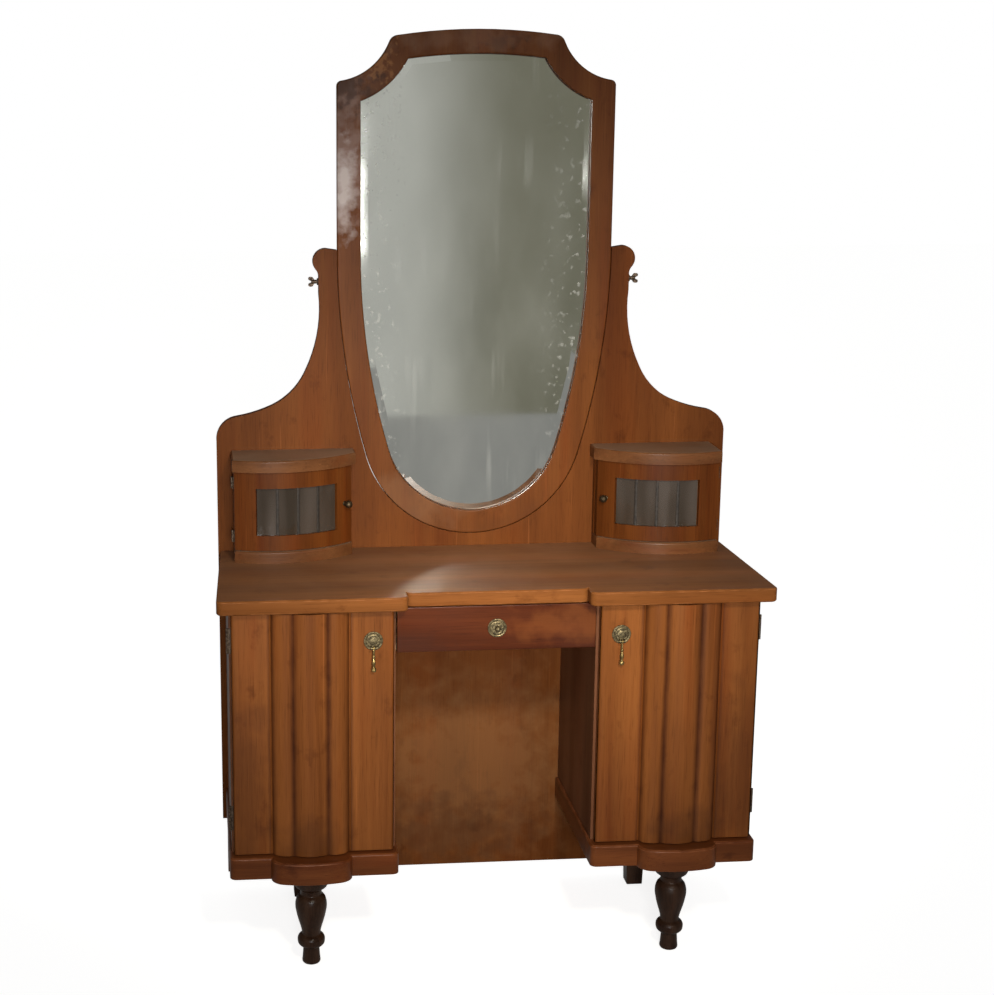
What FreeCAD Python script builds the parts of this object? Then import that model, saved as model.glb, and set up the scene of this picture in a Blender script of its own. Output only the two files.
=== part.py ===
import FreeCAD, Part
import math
import os

os.makedirs("parts", exist_ok=True)

# Dressing table with a tilting mirror. Millimetres, X to the right, Y to the rear, Z up.
# While building, Y runs from the front edge of the table slab; saving centres the depth.

# driving sizes of the table
table_height = 760.0
table_depth = 376.0
slab_thickness = 28.0
slab_overhang = 23.0
slab_side_step = 14.0
slab_corner = 13.0
slab_edge_round = 2.5
recess_half_width = 175.0
recess_depth = 29.0
recess_corner_depth = 7.0
recess_corner_rise = 2.4
kneehole_half_width = 195.0
pedestal_outer = 515.0
panel_thickness = 16.0
carcass_front = 44.6
seat_gap = 0.3
cut_overrun = 5.0
edge_tolerance = 0.05

# base of each pedestal
plinth_top = 238.0
plinth_bottom = 194.0
plinth_front = 10.0
plinth_rail_depth = 52.0
plinth_proud = 5.0
plinth_return_thickness = 18.0
plinth_chamfer = 3.0
bow_offset = 6.0
bow_half_width = 79.0
bow_front_half_width = 57.0
bow_flank_depth = 29.0
bow_front_rise = 7.0
bow_flank_rise = 6.0
base_rear_rail_depth = 50.0

# feet
foot_radius = 37.0
foot_axis_depth = 42.0
foot_spigot_radius = 9.0
foot_spigot_length = 30.0
spigot_clearance = 0.1
rear_foot_width = 46.0
rear_foot_toe_width = 34.0
rear_foot_inset = 26.0
# front foot from the floor up: share of the radius, share of the height, bulge as share of the radius
foot_shares = (
    (0.00, 0.000, 0.000), (0.38, 0.000, 0.030), (0.49, 0.028, 0.020), (0.47, 0.060, -0.040),
    (0.43, 0.180, 0.255), (0.52, 0.318, -0.010), (0.51, 0.352, -0.030), (0.70, 0.500, 0.180),
    (0.65, 0.742, -0.020), (0.56, 0.778, 0.000), (0.86, 0.850, 0.020), (1.00, 0.925, 0.000),
    (1.00, 1.000, 0.000), (0.00, 1.000, 0.000),
)

# inside of the pedestals
floor_thickness = 16.0
top_rail_depth = 40.0
top_rail_thickness = 16.0
shelf_height = 486.0
shelf_thickness = 14.0
shelf_side_gap = 0.5
shelf_front = 60.0
shelf_rear_gap = 4.0
peg_radius = 3.0
peg_length = 16.0
peg_clearance = 0.05
peg_front = 110.0
peg_rear_inset = 56.0

# pedestal doors with three reeds
door_inner_gap = 5.0
door_outer_gap = 4.0
door_front = 24.0
door_back = 42.0
door_bottom_gap = 3.0
door_top_gap = 2.0
door_edge_round = 6.0
reed_edge = 75.5
reed_valley = 33.5
reed_valley_depth = 13.0
reed_middle_rise = 10.0
reed_side_rise = 9.5
groove_depth = 3.0
groove_lip = 2.5

# butt hinges
hinge_pin_offset = 2.9
leaf_gap = 0.2
pedestal_leaf_width = 22.0
pedestal_leaf_height = 50.0
pedestal_barrel_radius = 2.6
pedestal_pin_radius = 1.4
pedestal_hinge_low = 310.0
pedestal_hinge_drop = 62.0
pin_clearance = 0.05
barrel_clearance = 0.3

# handles: rosette plates, drop pulls and the drawer rosette
rosette_radius = 18.5
rosette_thickness = 4.0
rosette_drop = 63.0
handle_across = 240.0
lug_radius = 3.6
lug_thickness = 2.4
lug_spread = 4.4
lug_reach = 9.5
lug_drop = 12.0
drop_pin_radius = 1.2
drop_eye_radius = 3.6
drop_eye_width = 3.6
drop_length = 48.0
drop_radius = 5.2
drawer_boss_radius = 6.5
drawer_boss_reach = 15.0
# rosette from the back: share of the radius, share of the thickness, bulge as share of the radius
rosette_shares = (
    (0.00, 0.00, 0.000), (1.00, 0.00, 0.000), (1.00, 0.35, 0.035), (0.84, 0.55, -0.020),
    (0.74, 0.50, 0.040), (0.52, 0.70, -0.015), (0.40, 0.80, 0.000), (0.00, 1.00, 0.000),
)
# drop from the eye down: share of the radius, share of the length, bulge as share of the radius
drop_shares = (
    (0.00, 0.00, 0.00), (0.42, 0.00, 0.00), (0.34, 0.30, -0.05), (0.62, 0.34, 0.12), (0.36, 0.42, 0.00),
    (0.44, 0.46, 0.25), (0.46, 0.74, 0.00), (0.50, 0.80, 0.00), (0.00, 1.00, 0.00),
)

# drawer in the kneehole
drawer_half_width = 193.0
drawer_front_depth = 36.0
drawer_front_thickness = 18.0
drawer_front_drop = 92.0
drawer_front_gap = 2.5
drawer_edge_round = 2.0
drawer_side_thickness = 10.0
drawer_side_drop = 79.7
drawer_side_gap = 2.0
drawer_back_gap = 12.0
drawer_back_thickness = 10.0
drawer_bottom_thickness = 4.0
drawer_groove_rise = 4.0
drawer_groove_depth = 5.0
groove_end_gap = 0.2
runner_width = 16.0
runner_drop = 91.0
kneehole_rail_drop = 132.0
kneehole_rail_height = 38.0
kneehole_rail_depth = 18.0

# back boards with ears that carry the mirror
board_thickness = 18.0
board_proud = 12.5
board_foot_proud = 3.0
board_foot = 45.0
board_step = 168.0
board_side_top = 988.0
ear_top_rise = 6.0
ear_lobe_clear = 23.5
ear_lobe_rise = 41.1
ear_lobe_radius = 26.0
ear_lobe_low_rise = 24.6
ear_neck_clear = 38.0
ear_neck_rise = 12.6
ear_neck_drop = 23.4
ear_fillet_rise = -1.0
# shoulder from the board's side up to the ear's neck: share across from the neck, share up, bulge as
# share of the height
shoulder_shares = (
    (1.000, 0.000, 0.046), (0.798, 0.174, -0.008), (0.461, 0.245, -0.031), (0.126, 0.487, -0.036),
)

# mirror frame outline
mirror_half_width = 279.0
mirror_top = 1808.4
mirror_side_low = 1371.0
mirror_bottom_centre = 1014.5
mirror_bottom_radius = 228.0
mirror_shoulder_round = 11.0
mirror_scoop_clear = 9.0
mirror_scoop_rise = 22.6
mirror_scoop_radius = 123.0
mirror_arch_radius = 1100.0
mirror_top_round = 20.0
mirror_gap = 1.0
mirror_face_width = 47.0
mirror_rebate_width = 38.0
mirror_lip = 7.0
mirror_edge_round = 2.5
mirror_axis_drop = 57.6
glass_thickness = 5.0
glass_rim_thickness = 2.0
glass_gap = 0.4
bevel_width = 22.0
clip_length = 26.0
clip_width = 11.0
clip_thickness = 1.5
clip_screw_radius = 3.0
clip_screw_rise = 1.0

# wing screws through the ears
screw_radius = 3.0
screw_clearance = 0.05
screw_in_frame = 16.0
collar_radius = 7.0
collar_thickness = 2.5
neck_radius = 4.0
wing_start = 6.0
wing_length = 19.0
wing_half_height = 9.0
wing_thickness = 3.0
wing_fork_half_height = 3.5
wing_fork_depth = 8.0

# small cabinets on the slab, bowed in front
cabinet_end_space = 28.0
cabinet_width = 242.0
cabinet_cap_outer_proud = 3.0
cabinet_cap_inner_proud = 8.0
cabinet_slab_thickness = 24.0
cabinet_body_height = 163.0
cabinet_axis_inset = 82.5
cabinet_cheek_depth = 14.684
cabinet_slab_proud = 7.0
cabinet_door_radius = 223.0
cabinet_door_thickness = 14.0
cabinet_side_thickness = 12.0
cabinet_slab_round = 4.0
cabinet_hinge_space = 2.8
cabinet_door_gap = 1.0
window_low = 32.0
window_high = 129.0
window_outer_stile = 43.8
window_inner_stile = 31.6
pane_count = 4
pane_thickness = 2.0
pane_groove = 4.0
pane_play = 0.25
came_flange_width = 6.0
came_flange_thickness = 1.0
came_web = 1.2
cabinet_leaf_width = 14.0
cabinet_leaf_height = 24.0
cabinet_leaf_inset = 9.0
cabinet_leaf_outset = 13.0
cabinet_barrel_radius = 2.2
cabinet_pin_radius = 1.0
cabinet_hinge_inset = 26.0
knob_radius = 8.0
knob_length = 20.0
knob_inset = 16.2
knob_height = 84.0
# knob from its foot outwards: share of the radius, share of the length, bulge as share of the radius
knob_shares = (
    (0.00, 0.00, 0.00), (0.62, 0.00, 0.00), (0.42, 0.14, 0.00), (0.50, 0.26, 0.00), (0.00, 1.00, 0.00),
)


def bow_angle(across):
    return math.degrees(math.asin((across - cabinet_axis_across) / cabinet_door_radius))


# sizes that follow from the ones above
slab_bottom = table_height - slab_thickness
slab_half_width = pedestal_outer + slab_overhang
slab_rear_half_width = slab_half_width - slab_side_step
bow_centre = (kneehole_half_width + pedestal_outer) / 2 + bow_offset
rear_foot_axis_depth = table_depth - rear_foot_inset
shelf_rear = table_depth - shelf_rear_gap
peg_rear = table_depth - peg_rear_inset
door_inner = kneehole_half_width + door_inner_gap
door_outer = pedestal_outer - door_outer_gap
rosette_height = slab_bottom - rosette_drop
pedestal_hinge_high = slab_bottom - pedestal_hinge_drop
drawer_front_bottom = slab_bottom - drawer_front_drop
drawer_side_bottom = slab_bottom - drawer_side_drop
drawer_side_top = slab_bottom - drawer_side_gap
drawer_back_top = slab_bottom - drawer_back_gap
runner_bottom = slab_bottom - runner_drop
kneehole_rail_bottom = slab_bottom - kneehole_rail_drop
kneehole_rail_top = kneehole_rail_bottom + kneehole_rail_height
board_half_width = pedestal_outer + board_proud
board_foot_half_width = pedestal_outer + board_foot_proud
board_rear = table_depth + board_thickness
board_middle = table_depth + board_thickness / 2
mirror_axis_height = mirror_side_low - mirror_axis_drop
mirror_scoop_across = mirror_half_width + mirror_scoop_clear
mirror_scoop_centre = mirror_top + mirror_scoop_rise
ear_lobe_across = mirror_half_width + ear_lobe_clear
ear_neck_across = mirror_half_width + ear_neck_clear
ear_top_inner = mirror_side_low + ear_top_rise
ear_lobe_height = mirror_axis_height + ear_lobe_rise
ear_lobe_low = mirror_axis_height + ear_lobe_low_rise
ear_neck_high = mirror_axis_height + ear_neck_rise
ear_neck_low = mirror_axis_height - ear_neck_drop
bow_depth = bow_flank_depth + bow_front_rise
depth_centre = (plinth_front - bow_depth + board_rear + clip_thickness + clip_screw_rise) / 2
plinth_outer = pedestal_outer + plinth_proud
plinth_inner = kneehole_half_width - plinth_proud
plinth_rail_rear = plinth_front + plinth_rail_depth
inside_inner = kneehole_half_width + panel_thickness
inside_outer = pedestal_outer - panel_thickness
hinge_space = carcass_front - door_back
cabinet_outer = slab_rear_half_width - cabinet_end_space
cabinet_inner = cabinet_outer - cabinet_width
cabinet_cap_outer = cabinet_outer + cabinet_cap_outer_proud
cabinet_cap_inner = cabinet_inner - cabinet_cap_inner_proud
cabinet_axis_across = cabinet_outer - cabinet_axis_inset
cabinet_leaf_across = cabinet_outer - cabinet_leaf_inset
cabinet_slab_radius = cabinet_door_radius + cabinet_slab_proud
cabinet_cheek_radius = cabinet_door_radius - cabinet_door_thickness - cabinet_hinge_space
cabinet_cheek_reach = math.sqrt(cabinet_cheek_radius ** 2 - (cabinet_axis_across - cabinet_inner) ** 2)
cabinet_axis_depth = table_depth - cabinet_cheek_depth + cabinet_cheek_reach
window_outer_angle = bow_angle(cabinet_outer - window_outer_stile)
window_inner_angle = bow_angle(cabinet_inner + window_inner_stile)
knob_angle = bow_angle(cabinet_inner + knob_inset)
cabinet_floor = table_height + cabinet_slab_thickness
cabinet_ceiling = cabinet_floor + cabinet_body_height


def point(x, y, z):
    return FreeCAD.Vector(x, y, z)


def block(xs, ys, zs):
    size = [high - low for low, high in (xs, ys, zs)]
    return Part.makeBox(*size, point(xs[0], ys[0], zs[0]))


def bulge_face(outline, place):
    """Closed face; each entry is (a, b, bulge of the edge that follows, outward for anticlockwise)."""
    edges = []
    for index, (a, b, bulge) in enumerate(outline):
        c, d = outline[(index + 1) % len(outline)][:2]
        if bulge:
            length = math.hypot(c - a, d - b)
            middle_a = (a + c) / 2 + (d - b) / length * bulge
            middle_b = (b + d) / 2 - (c - a) / length * bulge
            edges.append(Part.Arc(place(a, b), place(middle_a, middle_b), place(c, d)).toShape())
        else:
            edges.append(Part.LineSegment(place(a, b), place(c, d)).toShape())
    return Part.Face(Part.Wire(edges))


def plan_prism(outline, low, high):
    face = bulge_face(outline, lambda a, b: point(a, b, low))
    return face.extrude(point(0, 0, high - low))


def front_prism(outline, front, rear):
    face = bulge_face(outline, lambda a, b: point(a, front, b))
    return face.extrude(point(0, rear - front, 0))


def turned(shares, radius, length, domed=True):
    """Solid turned about Z from a table of shares of its radius and length, its end part of a ball."""
    outline = [(r * radius, z * length, bulge * radius) for r, z, bulge in shares]
    if domed:
        across, low = outline[-2][:2]
        centre = (length ** 2 - low ** 2 - across ** 2) / 2 / (length - low)
        ball = length - centre
        turn = math.atan2(across, low - centre)
        outline[-2] = (across, low, ball * (1 - math.cos(turn / 2)))
    face = bulge_face(outline, lambda a, b: point(a, 0, b))
    return face.revolve(point(0, 0, 0), point(0, 0, 1), 360)


def both_halves(right_half):
    """Closed outline from its right half, which runs anticlockwise and misses the centre line."""
    left_half = []
    for index in range(len(right_half) - 1, -1, -1):
        a, b = right_half[index][:2]
        before = right_half[index - 1][2] if index else 0
        left_half.append((-a, b, before))
    return right_half + left_half


def quarter(radius):
    return radius * (1 - math.sqrt(0.5))


def arc_rise(a, b, radius):
    half_chord = math.dist(a, b) / 2
    return radius - math.sqrt(radius ** 2 - half_chord ** 2)


def mirrored(shape):
    return shape.mirror(point(0, 0, 0), point(1, 0, 0))


def save(name, *solids):
    shape = solids[0] if len(solids) == 1 else Part.makeCompound(solids)
    shape = shape.translated(point(0, -depth_centre, 0))
    shape.exportStep("parts/" + name + ".step")


def save_pair(name, *solids):
    save("right_" + name, *solids)
    save("left_" + name, *[mirrored(solid) for solid in solids])


def edges_at_height(shape, height, keep):
    found = []
    for edge in shape.Edges:
        box = edge.BoundBox
        if abs(box.ZMin - height) + abs(box.ZMax - height) < edge_tolerance and keep(box):
            found.append(edge)
    return found


# table slab: side parts forward, middle part set back between rounded corners
def slab_outline(inset):
    rise = quarter(slab_corner - inset)
    corner = slab_corner
    valley = recess_half_width + inset
    return both_halves([
        (recess_half_width - corner, recess_depth + inset, recess_corner_rise),
        (valley, recess_depth + recess_corner_depth + 2 * inset, 0),
        (valley, corner, rise),
        (recess_half_width + corner, inset, 0),
        (slab_half_width - corner, inset, rise),
        (slab_half_width - inset, corner, 0),
        (slab_rear_half_width - inset, table_depth, 0),
    ])


def table_top():
    eased = slab_edge_round
    slab = plan_prism(slab_outline(0), slab_bottom + eased, table_height - eased)
    for height, inward in ((slab_bottom, 1), (table_height, -1)):
        wires = []
        for inset, level in ((eased, height), (0, height + inward * eased)):
            face = bulge_face(slab_outline(inset), lambda a, b: point(a, b, level))
            wires.append(face.OuterWire)
        slab = slab.fuse(Part.makeLoft(wires, True, True))
    return slab.removeSplitter()


# plinth rail with its bow over the front foot
def plinth_rail():
    corner = slab_corner
    shoulder = plinth_front - bow_flank_depth
    outline = [
        (plinth_inner, plinth_rail_rear, 0),
        (plinth_inner, plinth_front + corner, quarter(corner)),
        (plinth_inner + corner, plinth_front, 0),
        (bow_centre - bow_half_width, plinth_front, bow_flank_rise),
        (bow_centre - bow_front_half_width, shoulder, bow_front_rise),
        (bow_centre + bow_front_half_width, shoulder, bow_flank_rise),
        (bow_centre + bow_half_width, plinth_front, 0),
        (plinth_outer - corner, plinth_front, quarter(corner)),
        (plinth_outer, plinth_front + corner, 0),
        (plinth_outer, plinth_rail_rear, 0),
    ]
    rail = plan_prism(outline, plinth_bottom, plinth_top)
    shown = edges_at_height(rail, plinth_top, lambda box: box.YMin < plinth_rail_rear - slab_corner)
    rail = rail.makeChamfer(plinth_chamfer, shown)
    bore = Part.makeCylinder(foot_spigot_radius + spigot_clearance, foot_spigot_length + cut_overrun,
                             point(bow_centre, foot_axis_depth, plinth_bottom - cut_overrun))
    return rail.cut(bore)


def plinth_return(face, inward):
    across = sorted((face, face + inward * plinth_return_thickness))
    rail = block(across, (plinth_rail_rear, table_depth), (plinth_bottom, plinth_top))
    shown = edges_at_height(rail, plinth_top,
                            lambda box: abs(box.XMin - face) + abs(box.XMax - face) < edge_tolerance)
    return rail.makeChamfer(plinth_chamfer, shown)


def base_rear_rail():
    inner = plinth_inner + plinth_return_thickness
    outer = plinth_outer - plinth_return_thickness
    front = table_depth - base_rear_rail_depth
    return block((inner, outer), (front, table_depth), (plinth_bottom, plinth_top))


# turned front foot with its spigot
def front_foot():
    foot = turned(foot_shares, foot_radius, plinth_bottom, domed=False)
    spigot = Part.makeCylinder(foot_spigot_radius, foot_spigot_length - spigot_clearance,
                               point(0, 0, plinth_bottom))
    return foot.fuse(spigot).translated(point(bow_centre, foot_axis_depth, 0))


# square rear foot, tapered to the floor
def rear_foot():
    rings = []
    for width, height in ((rear_foot_toe_width, 0), (rear_foot_width, plinth_bottom)):
        half = width / 2
        corners = [(-half, -half), (half, -half), (half, half), (-half, half), (-half, -half)]
        rings.append(Part.makePolygon([point(x, y, height) for x, y in corners]))
    return Part.makeLoft(rings, True, True).translated(point(bow_centre, rear_foot_axis_depth, 0))


# side panel with its peg holes; side is -1 for the kneehole panel and 1 for the outer one
def pegs(side, radius):
    inner_face = inside_outer if side > 0 else inside_inner
    start = inner_face - peg_length / 2
    height = shelf_height - peg_radius
    return [Part.makeCylinder(radius, peg_length, point(start, depth, height), point(1, 0, 0))
            for depth in (peg_front, peg_rear)]


def side_panel(side):
    inner_face = inside_outer if side > 0 else inside_inner
    across = sorted((inner_face, inner_face + side * panel_thickness))
    panel = block(across, (carcass_front, table_depth), (plinth_top, slab_bottom))
    for solid in pegs(side, peg_radius + peg_clearance):
        panel = panel.cut(solid)
    return panel


# floor, top rail and shelf inside a pedestal
def pedestal_floor():
    levels = (plinth_top, plinth_top + floor_thickness)
    return block((inside_inner, inside_outer), (carcass_front, table_depth), levels)


def top_rail():
    depths = (carcass_front, carcass_front + top_rail_depth)
    return block((inside_inner, inside_outer), depths, (slab_bottom - top_rail_thickness, slab_bottom))


def shelf():
    across = (inside_inner + shelf_side_gap, inside_outer - shelf_side_gap)
    return block(across, (shelf_front, shelf_rear), (shelf_height, shelf_height + shelf_thickness))


# door leaf: flats, two grooves and three reeds in a shallow bow
def pedestal_door():
    lip = reed_edge + groove_lip
    groove = door_front + groove_depth
    outline = [
        (door_inner, door_back, 0),
        (door_inner, door_front + door_edge_round, quarter(door_edge_round)),
        (door_inner + door_edge_round, door_front, 0),
        (bow_centre - lip, door_front, 0),
        (bow_centre - reed_edge, groove, reed_side_rise),
        (bow_centre - reed_valley, door_front - reed_valley_depth, reed_middle_rise),
        (bow_centre + reed_valley, door_front - reed_valley_depth, reed_side_rise),
        (bow_centre + reed_edge, groove, 0),
        (bow_centre + lip, door_front, 0),
        (door_outer - door_edge_round, door_front, quarter(door_edge_round)),
        (door_outer, door_front + door_edge_round, 0),
        (door_outer, door_back, 0),
    ]
    return plan_prism(outline, plinth_top + door_bottom_gap, slab_bottom - door_top_gap)


# butt hinge about Z at the origin, leaves towards -X, moving leaf in front of the fixed one
def hinge(width, height, thickness, barrel, pin):
    third = height / 3
    reach = barrel + barrel_clearance
    inner = (leaf_gap / 2, leaf_gap / 2 + thickness)
    outer = (-inner[1], -inner[0])
    leaves = []
    for ys, spans in ((inner, ((0, 1), (2, 3))), (outer, ((1, 2),))):
        leaf = block((-reach - width, -reach), ys, (-height / 2, height / 2))
        for low, high in spans:
            low = low * third - height / 2 + leaf_gap / 2
            high = high * third - height / 2 - leaf_gap / 2
            link = block((-reach - leaf_gap, 0), ys, (low, high))
            knuckle = Part.makeCylinder(barrel, high - low, point(0, 0, low))
            leaf = leaf.fuse([link, knuckle])
        leaves.append(leaf)
    fixed, moving = leaves
    fixed = fixed.fuse(Part.makeCylinder(pin, height - leaf_gap, point(0, 0, leaf_gap / 2 - height / 2)))
    bore = Part.makeCylinder(pin + pin_clearance, height, point(0, 0, -height / 2))
    return fixed.removeSplitter(), moving.cut(bore).removeSplitter()


def pedestal_hinges():
    thickness = (hinge_space - leaf_gap) / 2
    parts = hinge(pedestal_leaf_width, pedestal_leaf_height, thickness,
                  pedestal_barrel_radius, pedestal_pin_radius)
    across = pedestal_outer + hinge_pin_offset
    depth = (carcass_front + door_back) / 2
    places = [point(across, depth, height) for height in (pedestal_hinge_low, pedestal_hinge_high)]
    return [[part.translated(place) for place in places] for part in parts]


# rosette plate facing the front, its back on a given depth
def rosette(across, depth, height):
    plate = turned(rosette_shares, rosette_radius, rosette_thickness)
    plate.rotate(point(0, 0, 0), point(1, 0, 0), 90)
    return plate.translated(point(across, depth, height))


def drop_axis():
    return point(handle_across, door_front - lug_reach, rosette_height - lug_drop)


# plate with the two lugs and the pin that carry the drop
def handle_plate():
    plate = rosette(handle_across, door_front, rosette_height)
    axis = drop_axis()
    for side in (-1, 1):
        low = axis.x + side * lug_spread - lug_thickness / 2
        levels = (axis.z - lug_radius, axis.z + lug_radius)
        lug = Part.makeCylinder(lug_radius, lug_thickness, point(low, axis.y, axis.z), point(1, 0, 0))
        arm = block((low, low + lug_thickness), (axis.y, door_front), levels)
        plate = plate.fuse([lug, arm])
    half = lug_spread + lug_thickness / 2
    pin = Part.makeCylinder(drop_pin_radius, 2 * half, point(axis.x - half, axis.y, axis.z), point(1, 0, 0))
    return plate.fuse(pin)


def drop_pull():
    axis = drop_axis()
    half = drop_eye_width / 2
    eye = Part.makeCylinder(drop_eye_radius, drop_eye_width, point(-half, 0, 0), point(1, 0, 0))
    body = turned(drop_shares, drop_radius, drop_length)
    body.rotate(point(0, 0, 0), point(1, 0, 0), 180)
    bore = Part.makeCylinder(drop_pin_radius + pin_clearance, drop_eye_width + 2 * cut_overrun,
                             point(-half - cut_overrun, 0, 0), point(1, 0, 0))
    around = (-drop_radius, drop_radius)
    upper = block(around, around, (-drop_eye_radius, drop_eye_radius))
    neck = body.common(block((-half, half), (-half, half), (-drop_eye_radius, 0)))
    return eye.fuse([neck, body.cut(upper)]).cut(bore).translated(axis)


# drawer: front, two grooved sides, back and bottom
def drawer_bottom_space(play):
    half = drawer_half_width - drawer_side_thickness + drawer_groove_depth - groove_end_gap + play
    front = drawer_front_depth + drawer_front_thickness - drawer_groove_depth + groove_end_gap - play
    low = drawer_side_bottom + drawer_groove_rise
    return block((-half, half), (front, table_depth - seat_gap), (low, low + drawer_bottom_thickness))


def drawer_front():
    across = (-drawer_half_width, drawer_half_width)
    rear = drawer_front_depth + drawer_front_thickness
    front = block(across, (drawer_front_depth, rear), (drawer_front_bottom, slab_bottom - drawer_front_gap))
    limit = drawer_front_depth + drawer_edge_round
    face_edges = [edge for edge in front.Edges if edge.BoundBox.YMax < limit]
    front = front.makeFillet(drawer_edge_round, face_edges)
    return front.cut(drawer_bottom_space(groove_end_gap))


def drawer_side(side):
    across = sorted((side * drawer_half_width, side * (drawer_half_width - drawer_side_thickness)))
    start = drawer_front_depth + drawer_front_thickness
    board = block(across, (start, table_depth - seat_gap), (drawer_side_bottom, drawer_side_top))
    return board.cut(drawer_bottom_space(groove_end_gap))


def drawer_back():
    half = drawer_half_width - drawer_side_thickness
    rear = table_depth - seat_gap
    low = drawer_side_bottom + drawer_groove_rise + drawer_bottom_thickness
    return block((-half, half), (rear - drawer_back_thickness, rear), (low, drawer_back_top))


def drawer_knob():
    height = (drawer_front_bottom + slab_bottom - drawer_front_gap) / 2
    plate = rosette(0, drawer_front_depth, height)
    boss = turned(knob_shares, drawer_boss_radius, drawer_boss_reach)
    boss.rotate(point(0, 0, 0), point(1, 0, 0), 90)
    return plate.fuse(boss.translated(point(0, drawer_front_depth, height)))


# runners and the rail across the rear of the kneehole
def drawer_runner(side):
    across = sorted((side * kneehole_half_width, side * (kneehole_half_width - runner_width)))
    front = drawer_front_depth + drawer_front_thickness + seat_gap
    return block(across, (front, table_depth), (runner_bottom, drawer_side_bottom - seat_gap))


def kneehole_rail():
    across = (-kneehole_half_width, kneehole_half_width)
    depths = (table_depth - kneehole_rail_depth, table_depth)
    return block(across, depths, (kneehole_rail_bottom, kneehole_rail_top))


# right half of the mirror outline, moved inwards by an inset, from the bottom to the top centre
def toward(start, end, share):
    return tuple(a + (b - a) * share for a, b in zip(start, end))


def scoop_meets_arch(scoop_radius, arch_radius):
    arch_centre = mirror_top - mirror_arch_radius
    rise = mirror_scoop_centre - arch_centre
    span = math.hypot(mirror_scoop_across, rise)
    along = (arch_radius ** 2 - scoop_radius ** 2 + span ** 2) / 2 / span
    offset = math.sqrt(arch_radius ** 2 - along ** 2)
    return ((along * mirror_scoop_across - offset * rise) / span,
            arch_centre + (along * rise + offset * mirror_scoop_across) / span)


def mirror_half(inset):
    half = mirror_half_width - inset
    side_radius = (mirror_half_width ** 2 + (mirror_side_low - mirror_bottom_centre) ** 2
                   - mirror_bottom_radius ** 2) / 2 / (mirror_half_width - mirror_bottom_radius)
    side_centre = (mirror_half_width - side_radius, mirror_side_low)
    bottom_radius = mirror_bottom_radius - inset
    reach = side_radius - mirror_bottom_radius
    tangent = (-side_centre[0] / reach * bottom_radius,
               mirror_bottom_centre + (mirror_bottom_centre - mirror_side_low) / reach * bottom_radius)
    bottom = (0, mirror_bottom_centre - bottom_radius)
    side_low = (half, mirror_side_low)
    outline = [
        (*bottom, arc_rise(bottom, tangent, bottom_radius)),
        (*tangent, arc_rise(tangent, side_low, side_radius - inset)),
        (*side_low, 0),
    ]
    scoop_centre = (mirror_scoop_across, mirror_scoop_centre)
    scoop_radius = mirror_scoop_radius + inset
    if inset < mirror_shoulder_round:
        reach = mirror_scoop_radius + mirror_shoulder_round
        across = mirror_half_width - mirror_shoulder_round
        height = mirror_scoop_centre - math.sqrt(reach ** 2 - (mirror_scoop_across - across) ** 2)
        scoop_start = toward(scoop_centre, (across, height), scoop_radius / reach)
        shoulder = (half, height)
        outline.append((*shoulder, arc_rise(shoulder, scoop_start, mirror_shoulder_round - inset)))
    else:
        drop = math.sqrt(scoop_radius ** 2 - (mirror_scoop_across - half) ** 2)
        scoop_start = (half, mirror_scoop_centre - drop)
    arch_radius = mirror_arch_radius - inset
    top = (0, mirror_top - inset)
    if inset < mirror_top_round:
        scoop_reach = mirror_scoop_radius + mirror_top_round
        arch_reach = mirror_arch_radius - mirror_top_round
        round_centre = scoop_meets_arch(scoop_reach, arch_reach)
        scoop_end = toward(scoop_centre, round_centre, scoop_radius / scoop_reach)
        arch_centre = (0, mirror_top - mirror_arch_radius)
        arch_start = toward(arch_centre, round_centre, arch_radius / arch_reach)
        outline.append((*scoop_start, -arc_rise(scoop_start, scoop_end, scoop_radius)))
        outline.append((*scoop_end, arc_rise(scoop_end, arch_start, mirror_top_round - inset)))
    else:
        arch_start = scoop_meets_arch(scoop_radius, arch_radius)
        outline.append((*scoop_start, -arc_rise(scoop_start, arch_start, scoop_radius)))
    outline.append((*arch_start, arc_rise(arch_start, top, arch_radius)))
    return outline


def mirror_outline(inset):
    right = mirror_half(inset)
    top = (0, mirror_top - inset, right[-1][2])
    left = [(-right[index][0], right[index][1], right[index - 1][2]) for index in range(1, len(right))]
    return right + [top] + left[::-1]


def mirror_prism(inset, front, rear):
    return front_prism(mirror_outline(inset), front, rear)


def screw_hole(side):
    start = (mirror_half_width - screw_in_frame - seat_gap) * side
    length = ear_neck_across - mirror_half_width + screw_in_frame + cut_overrun
    return Part.makeCylinder(screw_radius + screw_clearance, length,
                             point(start, board_middle, mirror_axis_height), point(side, 0, 0))


def mirror_frame():
    frame = mirror_prism(0, table_depth, board_rear)
    frame = frame.cut(mirror_prism(mirror_face_width, table_depth - cut_overrun, board_rear))
    frame = frame.cut(mirror_prism(mirror_rebate_width, table_depth + mirror_lip, board_rear + cut_overrun))
    face_edges = [edge for edge in frame.Edges if edge.BoundBox.YMax < table_depth + mirror_lip / 2]
    frame = frame.makeFillet(mirror_edge_round, face_edges)
    for side in (-1, 1):
        frame = frame.cut(screw_hole(side))
    return frame


def mirror_glass():
    rim = mirror_rebate_width + glass_gap
    front = table_depth + mirror_lip
    rear = front + glass_thickness
    rim_front = rear - glass_rim_thickness
    wires = []
    for inset, depth in ((rim, rim_front), (rim + bevel_width, front)):
        face = bulge_face(mirror_outline(inset), lambda a, b: point(a, depth, b))
        wires.append(face.OuterWire)
    bevel = Part.makeLoft(wires, True, True)
    return bevel.fuse(mirror_prism(rim, rim_front, rear)).removeSplitter()


def mirror_backing():
    rim = mirror_rebate_width + glass_gap
    return mirror_prism(rim, table_depth + mirror_lip + glass_thickness, board_rear)


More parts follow.
